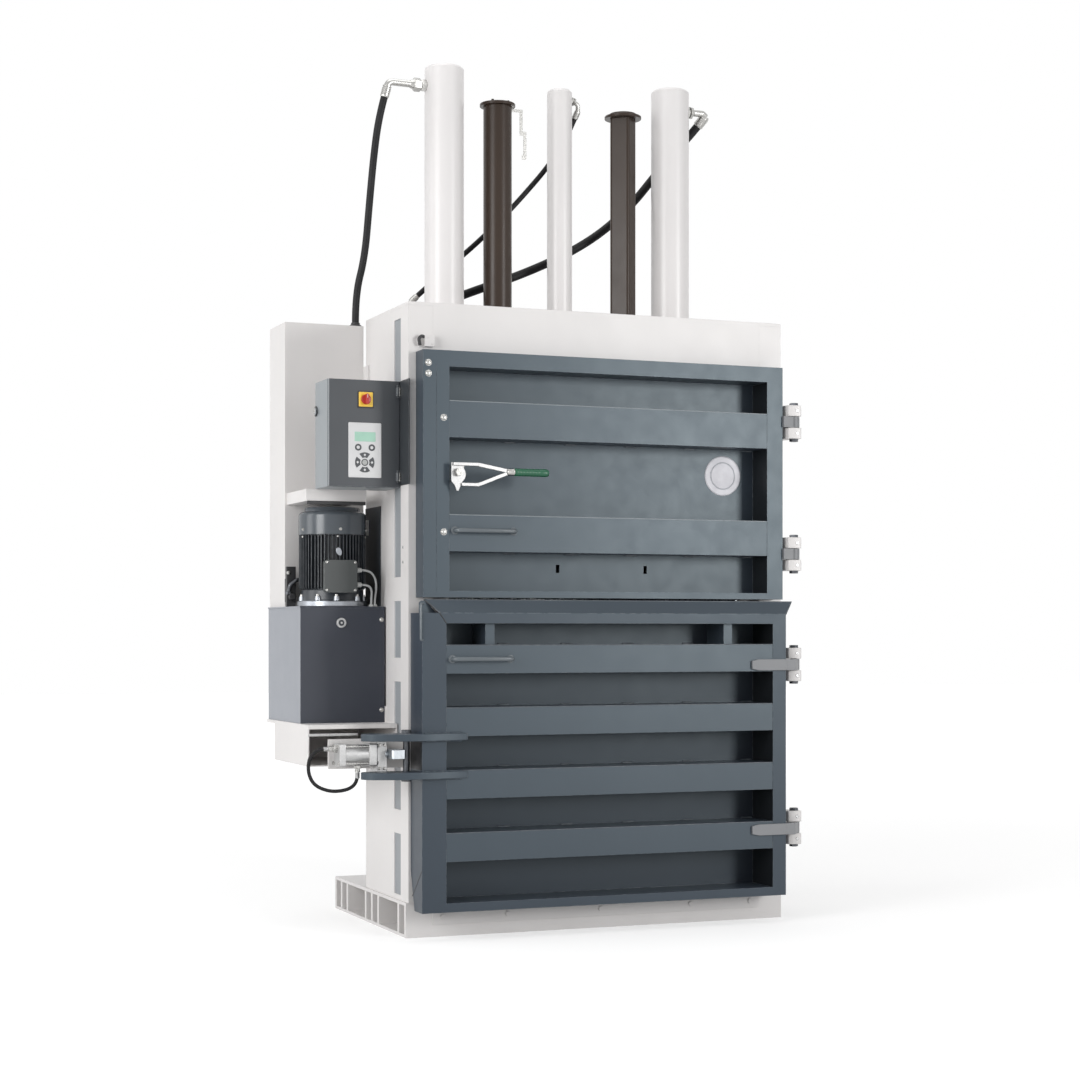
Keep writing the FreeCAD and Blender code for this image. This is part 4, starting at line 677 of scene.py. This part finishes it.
# ---- guide caps
@piece(guide_coat, "ram", instead="guide_caps")
def guide_cap_set(bm):
    round_cap, square_cap = at(501, 400, 3190), at(1041, 400, 3190)
    lathe(bm, [(0, 0.5), (69, 0.5), (70, 1.5), (70, 10.5), (68, 12.5), (56, 14.5),
               (12, 15.5), (0, 15.5)], round_cap, UP, 48)
    lathe(bm, [(0, 0.5), (73, 0.5), (74, 1.5), (74, 10), (72, 12), (55.5, 12.5),
               (55, 14), (55, 20), (53, 22), (0, 22)], square_cap, UP, 48)
    for middle in (round_cap, square_cap):
        for turn in range(4):
            spot = middle + Vector((*circle(45 + 90 * turn, 46), 15.2))
            screw(bm, spot, UP, 10, 5, 8)


# ---- upper door
@piece(zinc, "upper_door", 40, instead="upper_door_bolts")
def door_bolt_heads(bm):
    for a, z in ((48, 2107), (48, 2068), (107, 1909), (107, 1491)):
        rod(bm, at(a, -86, z), OUT, 12.5, 1.2, 28)
        domed(bm, at(a, -87, z), OUT, 10.5, 6.5)


def door_handle(name, body, instead, left_a, right_a, z, face_b):
    """A round bar bent into a shallow U, welded to washers at its feet."""
    ends = [at(a, face_b, z) for a in (left_a, right_a)]
    out, radius = OUT * 34, 8.8

    @piece(handle_paint, body, 40, instead=instead, name=name)
    def handle(bm):
        sweep(bm, rounded([ends[0], ends[0] + out, ends[1] + out, ends[1]], 17, 8),
              radius, 20)
        for foot in ends:
            lathe(bm, [(0, 0), (15, 0), (15, 2.2), (14.2, 3), (10, 3.4), (radius, 5.2),
                       (0, 5.2)], foot, OUT, 28)


door_handle("upper_pull", "upper_door", "upper_door_handle", 150, 380, 1497, -85)
door_handle("lower_pull", "lower_door", "lower_door_handle", 124, 350, 1027, -132)

# The round disc on the door sheet stays free of any wording.
disc_at = at(1304, 34, 1736)


@piece(disc_film, "upper_door", 20, instead="door_disc")
def door_disc_film(bm):
    lathe(bm, [(0, 0), (77, 0), (77.8, 0.8), (76, 1.8), (54.5, 1.9), (54, 1.4),
               (49.5, 1.4), (49, 2), (0, 2.1)], disc_at, OUT, 72)


@piece(disc_line, "upper_door", 20)
def door_disc_rings(bm):
    for inner, outer in ((49.7, 53.8), (73.5, 75)):
        lathe(bm, [(inner, 1.2), (inner + 0.4, 2.3), (outer - 0.4, 2.3), (outer, 1.2),
                   (inner, 1.2)], disc_at, OUT, 72)


def weld_beads(bm, z, up, first_a, last_a=1430, count=6, long=45, ripples=9):
    """Short fillet welds in a row along a joint of the door's sheet."""
    for index in range(count):
        start = first_a + (last_a - first_a - long) * index / (count - 1)
        beads(bm, [at(start + long * (ripple + 0.5) / ripples, 31.8, z + 1.2 * up)
                   for ripple in range(ripples)], 4.2, 1.05)


@piece(weld_and_highlight_paint, "upper_door", 60)
def upper_door_welds(bm):
    for z, up in ((1556, 1), (1421, -1), (1973, 1), (1838, -1)):
        weld_beads(bm, z, up, 136)


@piece(weld_and_highlight_paint, "lower_door", 60)
def lower_door_welds(bm):
    for low in range(290, 290 + 4 * 228, 228):
        for z, up in ((low, -1), (low + 105, 1)):
            weld_beads(bm, z, up, 108)


# ---- door latch
latch_pin = at(152, -111, 1708)          # where the lever's back face meets its pin


@piece(dull_zinc, "latch", bevel=1.2, instead="latch_lever")
def latch_lever_plate(bm):
    """A nose-shaped plate with two arms that run together at the grip."""
    face = facing(latch_pin)
    bulge = []
    for degrees in range(-52, 56, 12):
        u, v = circle(degrees, 34)
        bulge.append((u - 4, v - 7))
    slab(bm, [(-26, -34), (-14, -46), (-6, -68), (2, -68), (12, -44), *bulge, (16, 24),
              (16, 36), (-26, 36)], 6, face)
    for left, low, high in ((-20, 24, 36), (12, -50, -38)):
        plate(bm, left, low, 78, high, 2, 14, face, 3)
    for near, far in ((30, 9), (-44, 3)):
        slab(bm, [(66, near - 7), (78, near - 7), (197, far - 7), (197, far + 7),
                  (78, near + 7), (66, near + 7)], 10, face)


@piece(zinc, "latch", 35)
def latch_collar(bm):
    lathe(bm, [(0, 0), (11.5, 0), (12.5, 1), (12.5, 22), (13.5, 26), (13.5, 27),
               (12, 30), (0, 30.2)], latch_pin + Vector((190, -4, 6)), RIGHT, 28)


@piece(grip_rubber, "latch", 50, instead="latch_grip")
def latch_grip_sleeve(bm):
    profile = [(0, 0), (12.5, 0), (14, 1.5)]
    for start in range(12, 108, 12):
        profile += [(14.2, start), (13.6, start + 1.5), (14.2, start + 3)]
    profile += [(14.6, 112), (14.6, 122), (13.6, 130), (10.5, 134.5), (5.5, 136.2),
                (0, 136.5)]
    lathe(bm, profile, latch_pin + Vector((220, -4, 6)), RIGHT, 32)


@piece(dull_zinc, "upper_door", 35)
def latch_pivot_bolt(bm):
    rod(bm, latch_pin + OUT * 6.2, OUT, 13, 2, 28)
    hexagon(bm, latch_pin + OUT * 8.2, OUT, 16, 6)


# ---- hinges
HINGE = (789, -543)
upper_hinges, lower_hinges = (1945, 1430), (999, 363)
hinge_mid = upper_hinges + lower_hinges
leaf_half, lug_half = 21.3, 65       # half heights of a leaf and of a whole hinge


@piece(white_paint, smooth=35, bevel=2.2, instead="hinge_blocks")
def hinge_lugs(bm):
    """Two forged lugs above and below each door leaf, set on the right column."""
    gap_half = 22.5
    outline = [(739, -468), (739, -504), (755, -563), (769, -570), (806, -570),
               (811, -565), (811, -523), (807, -519), (771, -468)]
    for middle in hinge_mid:
        for low in (middle - lug_half, middle + gap_half):
            slab(bm, outline, lug_half - gap_half, shift((0, 0, low)))


@piece(dark_steel)
def hinge_pin_heads(bm):
    for middle in hinge_mid:
        rod(bm, (*HINGE, middle - 64), UP, 11.8, 128)
        for axis in (DOWN, UP):
            face = Vector((*HINGE, middle)) + axis * lug_half
            rod(bm, face, axis, 18, 2, 28)
            hexagon(bm, face + axis * 2, axis, 30, 8.5, 17.189)


@piece(dull_zinc)
def hinge_grub_screws(bm):
    for middle in hinge_mid:
        for way in (-1, 1):
            lathe(bm, [(0, 0), (7.2, 0), (7.2, 1), (6, 1.8), (3.2, 1.8), (3, 0.4),
                       (0, 0.4)], (790, -570, middle + way * 43.6), OUT, 20)


def leaf_set(name, body, heights, instead, arm):
    """Door leaves: a round boss about the pin, and a flat arm."""
    outer, inner, chamfer = 22.5, 13.2, 1

    @piece(leaf_paint, body, 35, bevel=1.5, instead=instead,
           name=name)
    def leaves(bm):
        for middle in heights:
            lathe(bm, [(inner, -leaf_half), (outer - chamfer, -leaf_half),
                       (outer, chamfer - leaf_half), (outer, leaf_half - chamfer),
                       (outer - chamfer, leaf_half), (inner, leaf_half),
                       (inner, -leaf_half)], (*HINGE, middle), UP, 40)
            slab(bm, arm, 2 * leaf_half, shift((0, 0, middle - leaf_half)))


leaf_set("upper_leaf_set", "upper_door", upper_hinges, "upper_door_leaves",
         [(733.5, -567), (776, -567), (776, -519), (733.5, -519)])
leaf_set("lower_leaf_set", "lower_door", lower_hinges, "lower_door_leaves",
         [(721.5, -610.8), (760, -610.8), (797, -566), (797, -535), (776, -535),
          (721.5, -560)])


@piece(leaf_paint, "lower_door", 35, bevel=1.5)
def lower_leaf_straps(bm):
    """The tapered straps of the lower leaves on the face of the door."""
    for middle in lower_hinges:
        slab(bm, [(573, -15.5), (603, -21.5), (722, -21.5), (722, 21.5), (603, 21.5),
                  (573, 15.5)], 10, facing(Vector((0, -600.8, middle))))


# ---- columns, header
@piece(slot_shade_paint)
def slot_shade_strips(bm):
    """Sheet strips a little way behind the long slots of the columns; their grey is
    painted shade for the dim inside of the white column.
    """
    for x in (-765.5, 765.5):
        for low, high in ((140, 386), (455, 950), (1020, 1250), (1320, 1940),
                          (2009, 2300)):
            box(bm, (x - 1.5, -384, low), (x + 1.5, -292, high))


@piece(white_paint, bevel=2)
def top_catch_box(bm):
    """A small white switch box on the header, above the upper door's corner."""
    box(bm, at(56, -24, 2174), at(94, 0.5, 2216))
    domed(bm, at(66, -24, 2206), OUT, 3, 1.6)
    domed(bm, at(84, -24, 2184), OUT, 3, 1.6)


@piece(black_plastic_and_shade, smooth=40)
def top_catch_gland(bm):
    sweep(bm, rounded([at(58, -14, 2210), at(44, -18, 2212), at(34, -18, 2202),
                       at(40, -14, 2178)], 6, 5), 6.2, 14)


@piece(dull_zinc)
def column_screws(bm):
    for z in (1439, 1384):
        domed(bm, at(0, 63, z), LEFT, 5.5, 3)


# ---- door trim
@piece(weld_and_highlight_paint, "lower_door", 40)
def lip_rolled_edge(bm):
    """A rolled edge along the top of the flared lip and down its mitred ends, in a
    lighter paint: a painted highlight on the edge.
    """
    sweep(bm, [(-695, -600.5, 1196), (-739, -560.5, 1241), (-735, -560.5, 1242),
               (763, -560.5, 1242), (767, -560.5, 1241), (723, -600.5, 1195)], 3, 10)


@piece(handle_paint, "lower_door")
def stile_catch(bm):
    """A bent wire loop beside the left stile, below the lip."""
    sweep(bm, rounded([at(14, -128, 1228), at(2, -137, 1228), at(2, -137, 1096),
                       at(14, -128, 1096)], 6), 4.2, 12)


@piece(door_paint, "lower_door", bevel=1)
def lip_corner_plate(bm):
    """The stile's plate that fills the corner left of the lip's mitre."""
    slab(bm, [(-763, 1194.5), (-695.5, 1194.5), (-738, 1239.5), (-756, 1239.5),
              (-763, 1232.5)], 4, facing(Vector((0, -562, 0))))


@piece(black_plastic_and_shade, "lower_door", 40)
def lip_mitre_gap(bm):
    sweep(bm, [(-670.5, -600.2, 1158), (-696, -600.2, 1194.5), (-743, -561.2, 1243)],
          2.4, 8)


def edge_beads(bm, left, y, heights):
    """The rounded upper front edges of pressed rails, in a lighter paint: a painted
    highlight where the edges catch the light.
    """
    for z in heights:
        sweep(bm, [(left, y + 1.2, z - 1.2), (665, y + 1.2, z - 1.2)], 2, 10)


# painted highlight along the upper door's rib edges
@piece(edge_highlight_paint, "upper_door", 40)
def upper_rib_edges(bm):
    edge_beads(bm, -641, -553, (1556, 1973))


# painted highlight along the lower door's rail edges
@piece(weld_and_highlight_paint, "lower_door", 40)
def lower_rail_edges(bm):
    edge_beads(bm, -669, -600, (395, 623, 851, 1079))


@piece(sheet_paint, "upper_door", 0)
def stile_seam(bm):
    box(bm, at(78.4, -86.5, 1276), at(79.6, -85.6, 2096))


@piece(black_plastic_and_shade, "lower_door", 0)
def lower_stile_shadows(bm):
    """The dark pocket between the lock arms and the slit above the mitred foot."""
    box(bm, (-763.8, -596, 626), (-762.8, -472, 726))
    slab(bm, [(107.5, 260), (101, 260), (-7, 158), (-1, 158)], 0.8,
         facing(Vector((-763, -493, 0)), LEFT))


# ---- oil tank
filler_at = at(-178, 267, 1160)


@piece(light_zinc)
def tank_filler(bm):
    lathe(bm, [(0, 0), (19, 0), (19, 7.5), (17.8, 9.5), (13.5, 10.2), (11.8, 9.5),
               (11.2, 8.4), (0, 8.4)], filler_at, OUT, 36)
    hexagon(bm, filler_at + OUT * 8.8, OUT, 8, 2)


@piece(motor_paint)
def tank_filler_seat(bm):
    rod(bm, filler_at + OUT * 8, OUT, 11.2, 0.8, 28)


@piece(zinc, smooth=40)
def tank_cover_screws(bm):
    for z in (1172, 831):
        foot = at(-19, 267, z)
        rod(bm, foot, OUT, 8.5, 1.2)
        domed(bm, foot + OUT, OUT, 6.5, 4.5)


# ---- motor
MOTOR = Vector((-943, -63, 0))
flange_turns = (-133, -98, -54, -10, 40, 90, 140, 180)      # bolts, in degrees


def outward(degrees):
    return Vector((*circle(degrees), 0))


def round_motor(degrees, radius, z):
    """A point about the motor's axis."""
    return MOTOR + outward(degrees) * radius + UP * z


@piece(motor_paint, instead="motor_housing")
def motor_fins(bm):
    """The finned housing: long fins, a little shorter at the four corners."""
    lathe(bm, [(20, 1250), (115.5, 1250), (115.5, 1262), (108.5, 1266), (108.5, 1488),
               (118, 1491), (118, 1500), (20, 1500)], MOTOR, UP, 96)
    count, low, high, inner, thick = 56, 1288, 1493, 105, 2.6
    for number in range(count):
        degrees = 360 * (number + 0.5) / count
        out, side = outward(degrees), outward(degrees + 90)
        reach = 121.5 if number % 14 in (6, 7) else 126.5
        matrix = shift(MOTOR - side * thick / 2) @ axes(out, UP, -out.cross(UP))
        slab(bm, [(inner, low), (reach - 4, low), (reach, low + 6), (reach, high),
                  (inner, high)], thick, matrix)


@piece(motor_paint)
def motor_shield_ring(bm):
    lathe(bm, [(20, 1243.5), (120, 1243.5), (119, 1246), (117.5, 1250), (118, 1279),
               (116, 1284.5), (110, 1287), (20, 1287)], MOTOR, UP, 96)


@piece(cast_alloy, instead="motor_flange")
def motor_end_shield(bm):
    """The bright flange disc with a lug for each bolt."""
    lathe(bm, [(18, 1222.5), (132.5, 1222.5), (134, 1224), (134, 1240.5), (132, 1243),
               (124, 1244), (18, 1244)], MOTOR, UP, 96)
    for degrees in flange_turns:
        lathe(bm, [(0, 0), (12, 0), (10.5, 16), (0, 16)],
              round_motor(degrees, 119, 1244), UP, 20)


@piece(zinc)
def motor_bolt_heads(bm):
    """Bolts of the end shield and small screws of the cowl."""
    for degrees in flange_turns:
        screw(bm, round_motor(degrees, 119, 1260), UP, 11, 6.5, 8.5)
    for degrees in range(-92, 200, 72):
        screw(bm, round_motor(degrees, 127.8, 1513), outward(degrees), 8, 3.5, 6)
    for degrees in (-96.7, -24, 48, 120, 192):
        domed(bm, round_motor(degrees, 126.2, 1486), outward(degrees), 4.5, 3)


@piece(cast_alloy, bevel=1.2)
def motor_lug(bm):
    """A bright cast eye leaning out of the fins above the terminal box."""
    foot, out = round_motor(-94.9, 121.5, 1428), outward(-94.9)
    lathe(bm, [(0, 0), (9, 0), (8.5, 6), (0, 6.2)], foot, out, 20)
    lean = Vector((-0.35, 0, 1))
    up = (lean - out * out.dot(lean)).normalized()
    outline = [circle(degrees) for degrees in range(0, 360, 18)]
    slab(bm, [(u * 10.5, v * 16.5) for u, v in outline], 6,
         facing(foot + out * 4.5, out, up))


@piece(cowl_paint, smooth=35, instead="motor_cowl")
def motor_fan_cowl(bm):
    """A pressed cowl with a rounded shoulder and a raised top ring."""
    lathe(bm, [(126.5, 1494), (128, 1494.5), (128, 1564), (127.2, 1570),
               (124.8, 1575.2), (120.5, 1579), (115, 1581.2), (106.2, 1582.2),
               (105.2, 1584), (104.5, 1594.5), (102, 1597.8), (96, 1598.8),
               (95, 1596.5), (95, 1590), (30, 1590), (28, 1593), (0, 1593), (0, 1587),
               (104, 1579), (123, 1569), (126.2, 1560), (126.5, 1494)], MOTOR, UP, 96)


@piece(motor_paint)
def motor_cowl_grille(bm):
    """Rings and ribs over the fan in the middle of the cowl."""
    for radius in range(40, 105, 13):
        inner, outer = radius - 1.8, radius + 1.8
        lathe(bm, [(inner, 1589.6), (outer, 1589.6), (outer, 1593), (inner, 1593),
                   (inner, 1589.6)], MOTOR, UP, 64)
    for degrees in range(20, 380, 45):
        out, side = outward(degrees), outward(degrees + 90)
        foot = shift(MOTOR - side * 1.5 + UP * 1590.2)
        slab(bm, [(29, 0), (96, 0), (96, 3), (29, 3)], 3.6, foot @ axes(out, side, UP))


# A dark plate on the column's left face behind the motor; its dark paint is also
# painted shade where the motor shadows the column side.
@piece(motor_paint, bevel=1)
def motor_shade_plate(bm):
    box(bm, (-774.5, -138, 1224), (-771.2, 56, 1606))


# The terminal box stays blank: a case with a lid, four screws and a pad.
def upright(y):
    """The plane of x and z at one depth, its normal to the front."""
    return shift((0, y, 0)) @ Matrix.Rotation(math.radians(90), 4, "X")


@piece(box_paint, smooth=35, bevel=1.4, instead="terminal_box")
def terminal_case(bm):
    plate(bm, -1019.5, 1274.5, -893.5, 1394.5, 11, 22, upright(-200))
    plate(bm, -1021, 1273, -892, 1396, 13, 5, upright(-222.8))


@piece(motor_paint, bevel=3)
def terminal_pad(bm):
    box(bm, (-1006, -200, 1286), (-907, -160, 1383))


@piece(zinc)
def terminal_screws(bm):
    for x in (-1011.5, -901.5):
        for z in (1282.5, 1386.5):
            domed(bm, (x, -227.7, z), OUT, 5.2, 3)


@piece(gear_plastic, instead="cable_glands")
def gland_set(bm):
    for z in (1358, 1303):
        foot = at(-121, 254, z)
        hexagon(bm, foot, RIGHT, 19, 7)
        lathe(bm, [(0, 6.5), (8.6, 6.5), (9, 8), (8.8, 15), (7, 19.5), (5.2, 20.5),
                   (0, 20.5)], foot, RIGHT)
    for a, b in ((-42, 278), (-57, 274)):
        foot = at(a, b, 1222)
        hexagon(bm, foot, UP, 17, 6)
        lathe(bm, [(0, 5.5), (7.6, 5.5), (7.4, 7.5), (5.6, 8.8), (0, 8.8)], foot)


# The black plate left of the motor carries a valve, a pipe and a bright screw.
@piece(black_plastic_and_shade, bevel=1.8, instead="valve_block")
def valve_plate(bm):
    box(bm, (-1101, 12, 1222.5), (-1065, 30, 1376))
    box(bm, (-1096, 30, 1240), (-1070, 62, 1330))
    lathe(bm, [(0, 0), (14, 0), (14, 18), (12, 20), (0, 20)], (-1083, 12, 1260), OUT,
          28)


@piece(dark_steel, smooth=35)
def valve_elbow(bm):
    sweep(bm, rounded([(-1096, 6, 1275), (-1092, -2, 1305), (-1064, -4, 1326),
                       (-1045, 10, 1324)], 16), 7.5)
    hexagon(bm, (-1096.2, 6.4, 1269), UP, 21, 12)


@piece(zinc)
def valve_screw(bm):
    domed(bm, (-1094, 12, 1352), OUT, 8.5, 5)


# A black strip under the cable duct: painted shadow in the gap between the duct and the
# motor's cowl.
@piece(black_plastic_and_shade, bevel=1.5)
def duct_shadow_strip(bm):
    box(bm, at(-310, 262, 1603), at(-82, 268, 1616))


# ---- control cabinet
KEYS = at(-141, 85, 1750)           # middle of the arrow pad on the keypad


def on_keypad(u, v):
    """A face on the keypad, at a distance from the arrow pad's middle."""
    return facing(KEYS + Vector((u, 0.1, v)))


def before_door(depth):
    """The front face of the cabinet door, or a plane that stands before it."""
    return facing(Vector((0, -380 - depth, 0)))


@piece(light_plastic, "cabinet_door", bevel=0.4, instead="keypad")
def keypad_plate(bm):
    plate(bm, -974, 1694, -848, 1896, 4, 2.6, before_door(0))
    plate(bm, -971.2, 1696.8, -850.8, 1893.2, 3, 3, before_door(0))


@piece(lcd_glass, "cabinet_door", bevel=0.3)
def keypad_display(bm):
    plate(bm, -950.5, 1827, -870.5, 1862, 2, 1.2, before_door(2.5))


def arrow_key(middle, inner=18, outer=37, spread=33, draw=0.86, steps=10):
    """The outline of a curved key, with its inner corners drawn in a little."""
    turns = [spread * (2 * step / steps - 1) for step in range(steps + 1)]
    return ([circle(middle + turn, outer) for turn in turns]
            + [circle(middle - turn * draw, inner) for turn in turns])


@piece(key_plastic, "cabinet_door")
def keypad_keys(bm):
    """Four curved arrow keys, a round middle key and two ring keys."""
    for middle in (0, 90, 180, 270):
        slab(bm, arrow_key(middle), 1.2, on_keypad(0, 0))
    for u, v, outer, inner in ((-25, 55, 12.5, 6.2), (27, 55, 12.5, 5.8),
                               (0, 0, 13, 9.8)):
        lathe(bm, [(inner, 0), (outer, 0), (outer, 1), (outer - 0.6, 1.4),
                   (inner + 0.4, 1.4), (inner, 0)], on_keypad(u, v).translation, OUT,
              32)


@piece(light_plastic, "cabinet_door")
def keypad_marks(bm):
    for u, v in ((27.5, 0), (-27.5, 0), (0, 27.5), (0, -27.5)):
        slab(bm, [(0, -5.2), (5, 0), (0, 5.2), (-5, 0)], 1.6, on_keypad(u, v))
    for u, radius in ((-25, 6.2), (27, 5.8)):
        rod(bm, on_keypad(u, 55).translation, OUT, radius, 1)


@piece(gear_plastic, "cabinet_door")
def keypad_middle(bm):
    lathe(bm, [(0, 0), (9.6, 0), (9.6, 1.2), (8.6, 1.6), (0, 1.7)], KEYS, OUT, 28)


# Main switch: dark surround, yellow plate and a red grip on a round base.
SWITCH = Vector((-908, -380, 1982))


@piece(black_plastic_and_shade, "cabinet_door", bevel=0.6, instead="switch_plate")
def switch_surround(bm):
    plate(bm, -31.5, -31.5, 31.5, 31.5, 4, 2.2, facing(SWITCH))


@piece(yellow_plastic, "cabinet_door", bevel=0.8)
def switch_yellow(bm):
    plate(bm, -26.8, -26.8, 26.8, 26.8, 3, 3.6, facing(SWITCH + OUT * 2))


@piece(red_plastic, "main_switch", 35, bevel=1,
       instead="switch_knob")
def switch_grip(bm):
    lathe(bm, [(0, 5.8), (18.8, 5.8), (18.8, 9), (17.6, 11.5), (15, 12.5), (0, 12.5)],
          SWITCH, OUT, 40)
    plate(bm, -6.5, -19.5, 6.5, 19.5, 6, 15.5, facing(SWITCH + OUT * 12.2), 6)


@piece(light_plastic, "main_switch")
def switch_pointer(bm):
    plate(bm, -1, 4, 1, 17.5, 0.8, 0.3, facing(SWITCH + OUT * 27.7), 3)


turn_lock_at = at(-277, 256, 1949)


@piece(zinc)
def cabinet_turn_lock(bm):
    lathe(bm, [(0, 0), (15.5, 0), (15.5, 2), (13, 3.5), (12.5, 7), (10.5, 8.5),
               (0, 8.5)], turn_lock_at, LEFT, 32)


@piece(black_plastic_and_shade)
def cabinet_lock_ring(bm):
    lathe(bm, [(15.6, -0.2), (19.5, -0.2), (19.5, 3), (15.6, 3), (15.6, -0.2)],
          turn_lock_at, LEFT, 32)


@piece(zinc)
def cabinet_hinge_pins(bm):
    for z in (2014, 1698):
        lathe(bm, [(0, -17), (4, -17), (4.8, -16), (4.8, 16), (4, 17), (0, 17)],
              (-779.5, -388, z), UP, 20)
        domed(bm, (-779.5, -388, z + 17), UP, 4, 2.5)


# ---- lower door lock
LOCK_PIN = (-799, -528)
LOCK = Vector((0, -495, 682))            # depth and height of the lock's axis


def flat(*outline):
    """An outline from places right of the left side and behind the front."""
    return [tuple(at(a, b, 0).xy) for a, b in outline]


@piece(door_paint, "lower_door", bevel=2, instead="lock_arms")
def lock_arm_plates(bm):
    """Two plates on the lower door that carry the lock pin."""
    outline = flat((185, -133), (150, -143), (40, -162), (-80, -160), (-172, -126),
                   (-198, -102), (-206, -78), (-194, -56), (-162, -44), (8, -44),
                   (8, -133))
    for low in (594, 732):
        slab(bm, outline, 26, shift((0, 0, low)))


@piece(dark_steel, "lower_door")
def lock_pin_bar(bm):
    rod(bm, (*LOCK_PIN, 590.5), UP, 12.5, 169.5, 28)
    hexagon(bm, (*LOCK_PIN, 758), UP, 34, 12)
    hexagon(bm, (*LOCK_PIN, 594), DOWN, 34, 12)


@piece(door_paint, "lower_door", 60)
def lock_arm_welds(bm):
    for z in (593, 621, 731, 759):
        beads(bm, [at(22 + 5.4 * ripple, -134, z) for ripple in range(26)], 4)


@piece(light_zinc, bevel=1.5, instead="lock_cylinder")
def lock_cylinder_body(bm):
    """A tie-rod cylinder: square caps, a round tube and a head plate."""
    for low, high in ((-1052, -1028), (-940, -912)):
        plate(bm, -40, -40, 40, 40, 5, high - low, facing(LOCK + RIGHT * low, RIGHT))
    rod(bm, LOCK + LEFT * 1030, RIGHT, 36.5, 92, 48)
    lathe(bm, [(12, -913), (25, -913), (25, -908), (22.5, -906), (12, -906)], LOCK,
          RIGHT, 36)
    box(bm, (-1033, -456, 652), (-931, -428, 712))


@piece(light_zinc, bevel=2)
def lock_head_plate(bm):
    """The plate that carries the rod guide, on the bracket's front."""
    box(bm, (-904, -510, 614), (-866, -428, 731))


@piece(zinc)
def lock_fittings(bm):
    """Four tie rods with nuts, the port fittings and the bracket's screws."""
    for u in (-31, 31):
        for v in (-31, 31):
            middle = LOCK + Vector((0, u, v))
            rod(bm, middle + LEFT * 1056, RIGHT, 4.2, 150, 16)
            hexagon(bm, middle + LEFT * 1051.8, LEFT, 13, 6.5)
            hexagon(bm, middle + LEFT * 912.2, RIGHT, 13, 6.5)
    end_port, lower_port = Vector((-1052, -495, 704)), Vector((-974, -495, 641.5))
    hexagon(bm, end_port, LEFT, 27, 12)
    lathe(bm, [(0, 11), (10, 11), (10, 19), (11, 20), (11, 31), (9, 32), (0, 32)],
          end_port, LEFT)
    hexagon(bm, lower_port, DOWN, 24, 11)
    lathe(bm, [(0, 10), (8.8, 10), (8.8, 16), (9.8, 17), (9.8, 24), (0, 24.5)],
          lower_port, DOWN)
    for x in (-894, -876):
        for z in (630, 715):
            screw(bm, (x, -510, z), OUT, 8, 5, 6.2)


def crimp(bm, start, ahead, hose=6.5, long=22):
    """A short crimped sleeve on the end of a hose."""
    profile = [(0, -1), (hose * 1.05, -1), (hose * 1.22, 1)]
    for ring in range(4):
        low = long * (0.08 + 0.21 * ring)
        profile += [(hose * 1.26, low), (hose * 1.26, low + long * 0.11),
                    (hose * 1.12, low + long * 0.13), (hose * 1.12, low + long * 0.18)]
    lathe(bm, profile + [(hose * 1.08, long), (0, long)], start, ahead)


@piece(dull_zinc)
def lock_hose_sleeves(bm):
    crimp(bm, at(-330, -27, 704), RIGHT)
    crimp(bm, at(-203, -27, 596), UP)


@piece(pale_steel, "lock_claw", bevel=1.4, instead="lock_claw")
def lock_claw_block(bm):
    """The sliding claw: a thick forked block on a bright rod."""
    slab(bm, flat((-92, -10), (-92, -86), (-84, -92), (-44, -92), (-44, -78),
                  (-76, -78), (-76, -44), (-30, -44), (-30, -18), (-38, -10)), 34,
         shift((0, 0, 665)))
    lathe(bm, [(10, 0), (17.5, 0), (17.5, 9), (16, 11), (10, 11)], LOCK + LEFT * 863.2,
          LEFT, 28)
    rod(bm, LOCK + LEFT * 1000, RIGHT, 10, 144, 28)


@piece(dull_zinc, bevel=1)
def console_bar(bm):
    """A flat bar across the open front of the tank console."""
    box(bm, at(-344, 127, 742), at(-155, 132, 752))
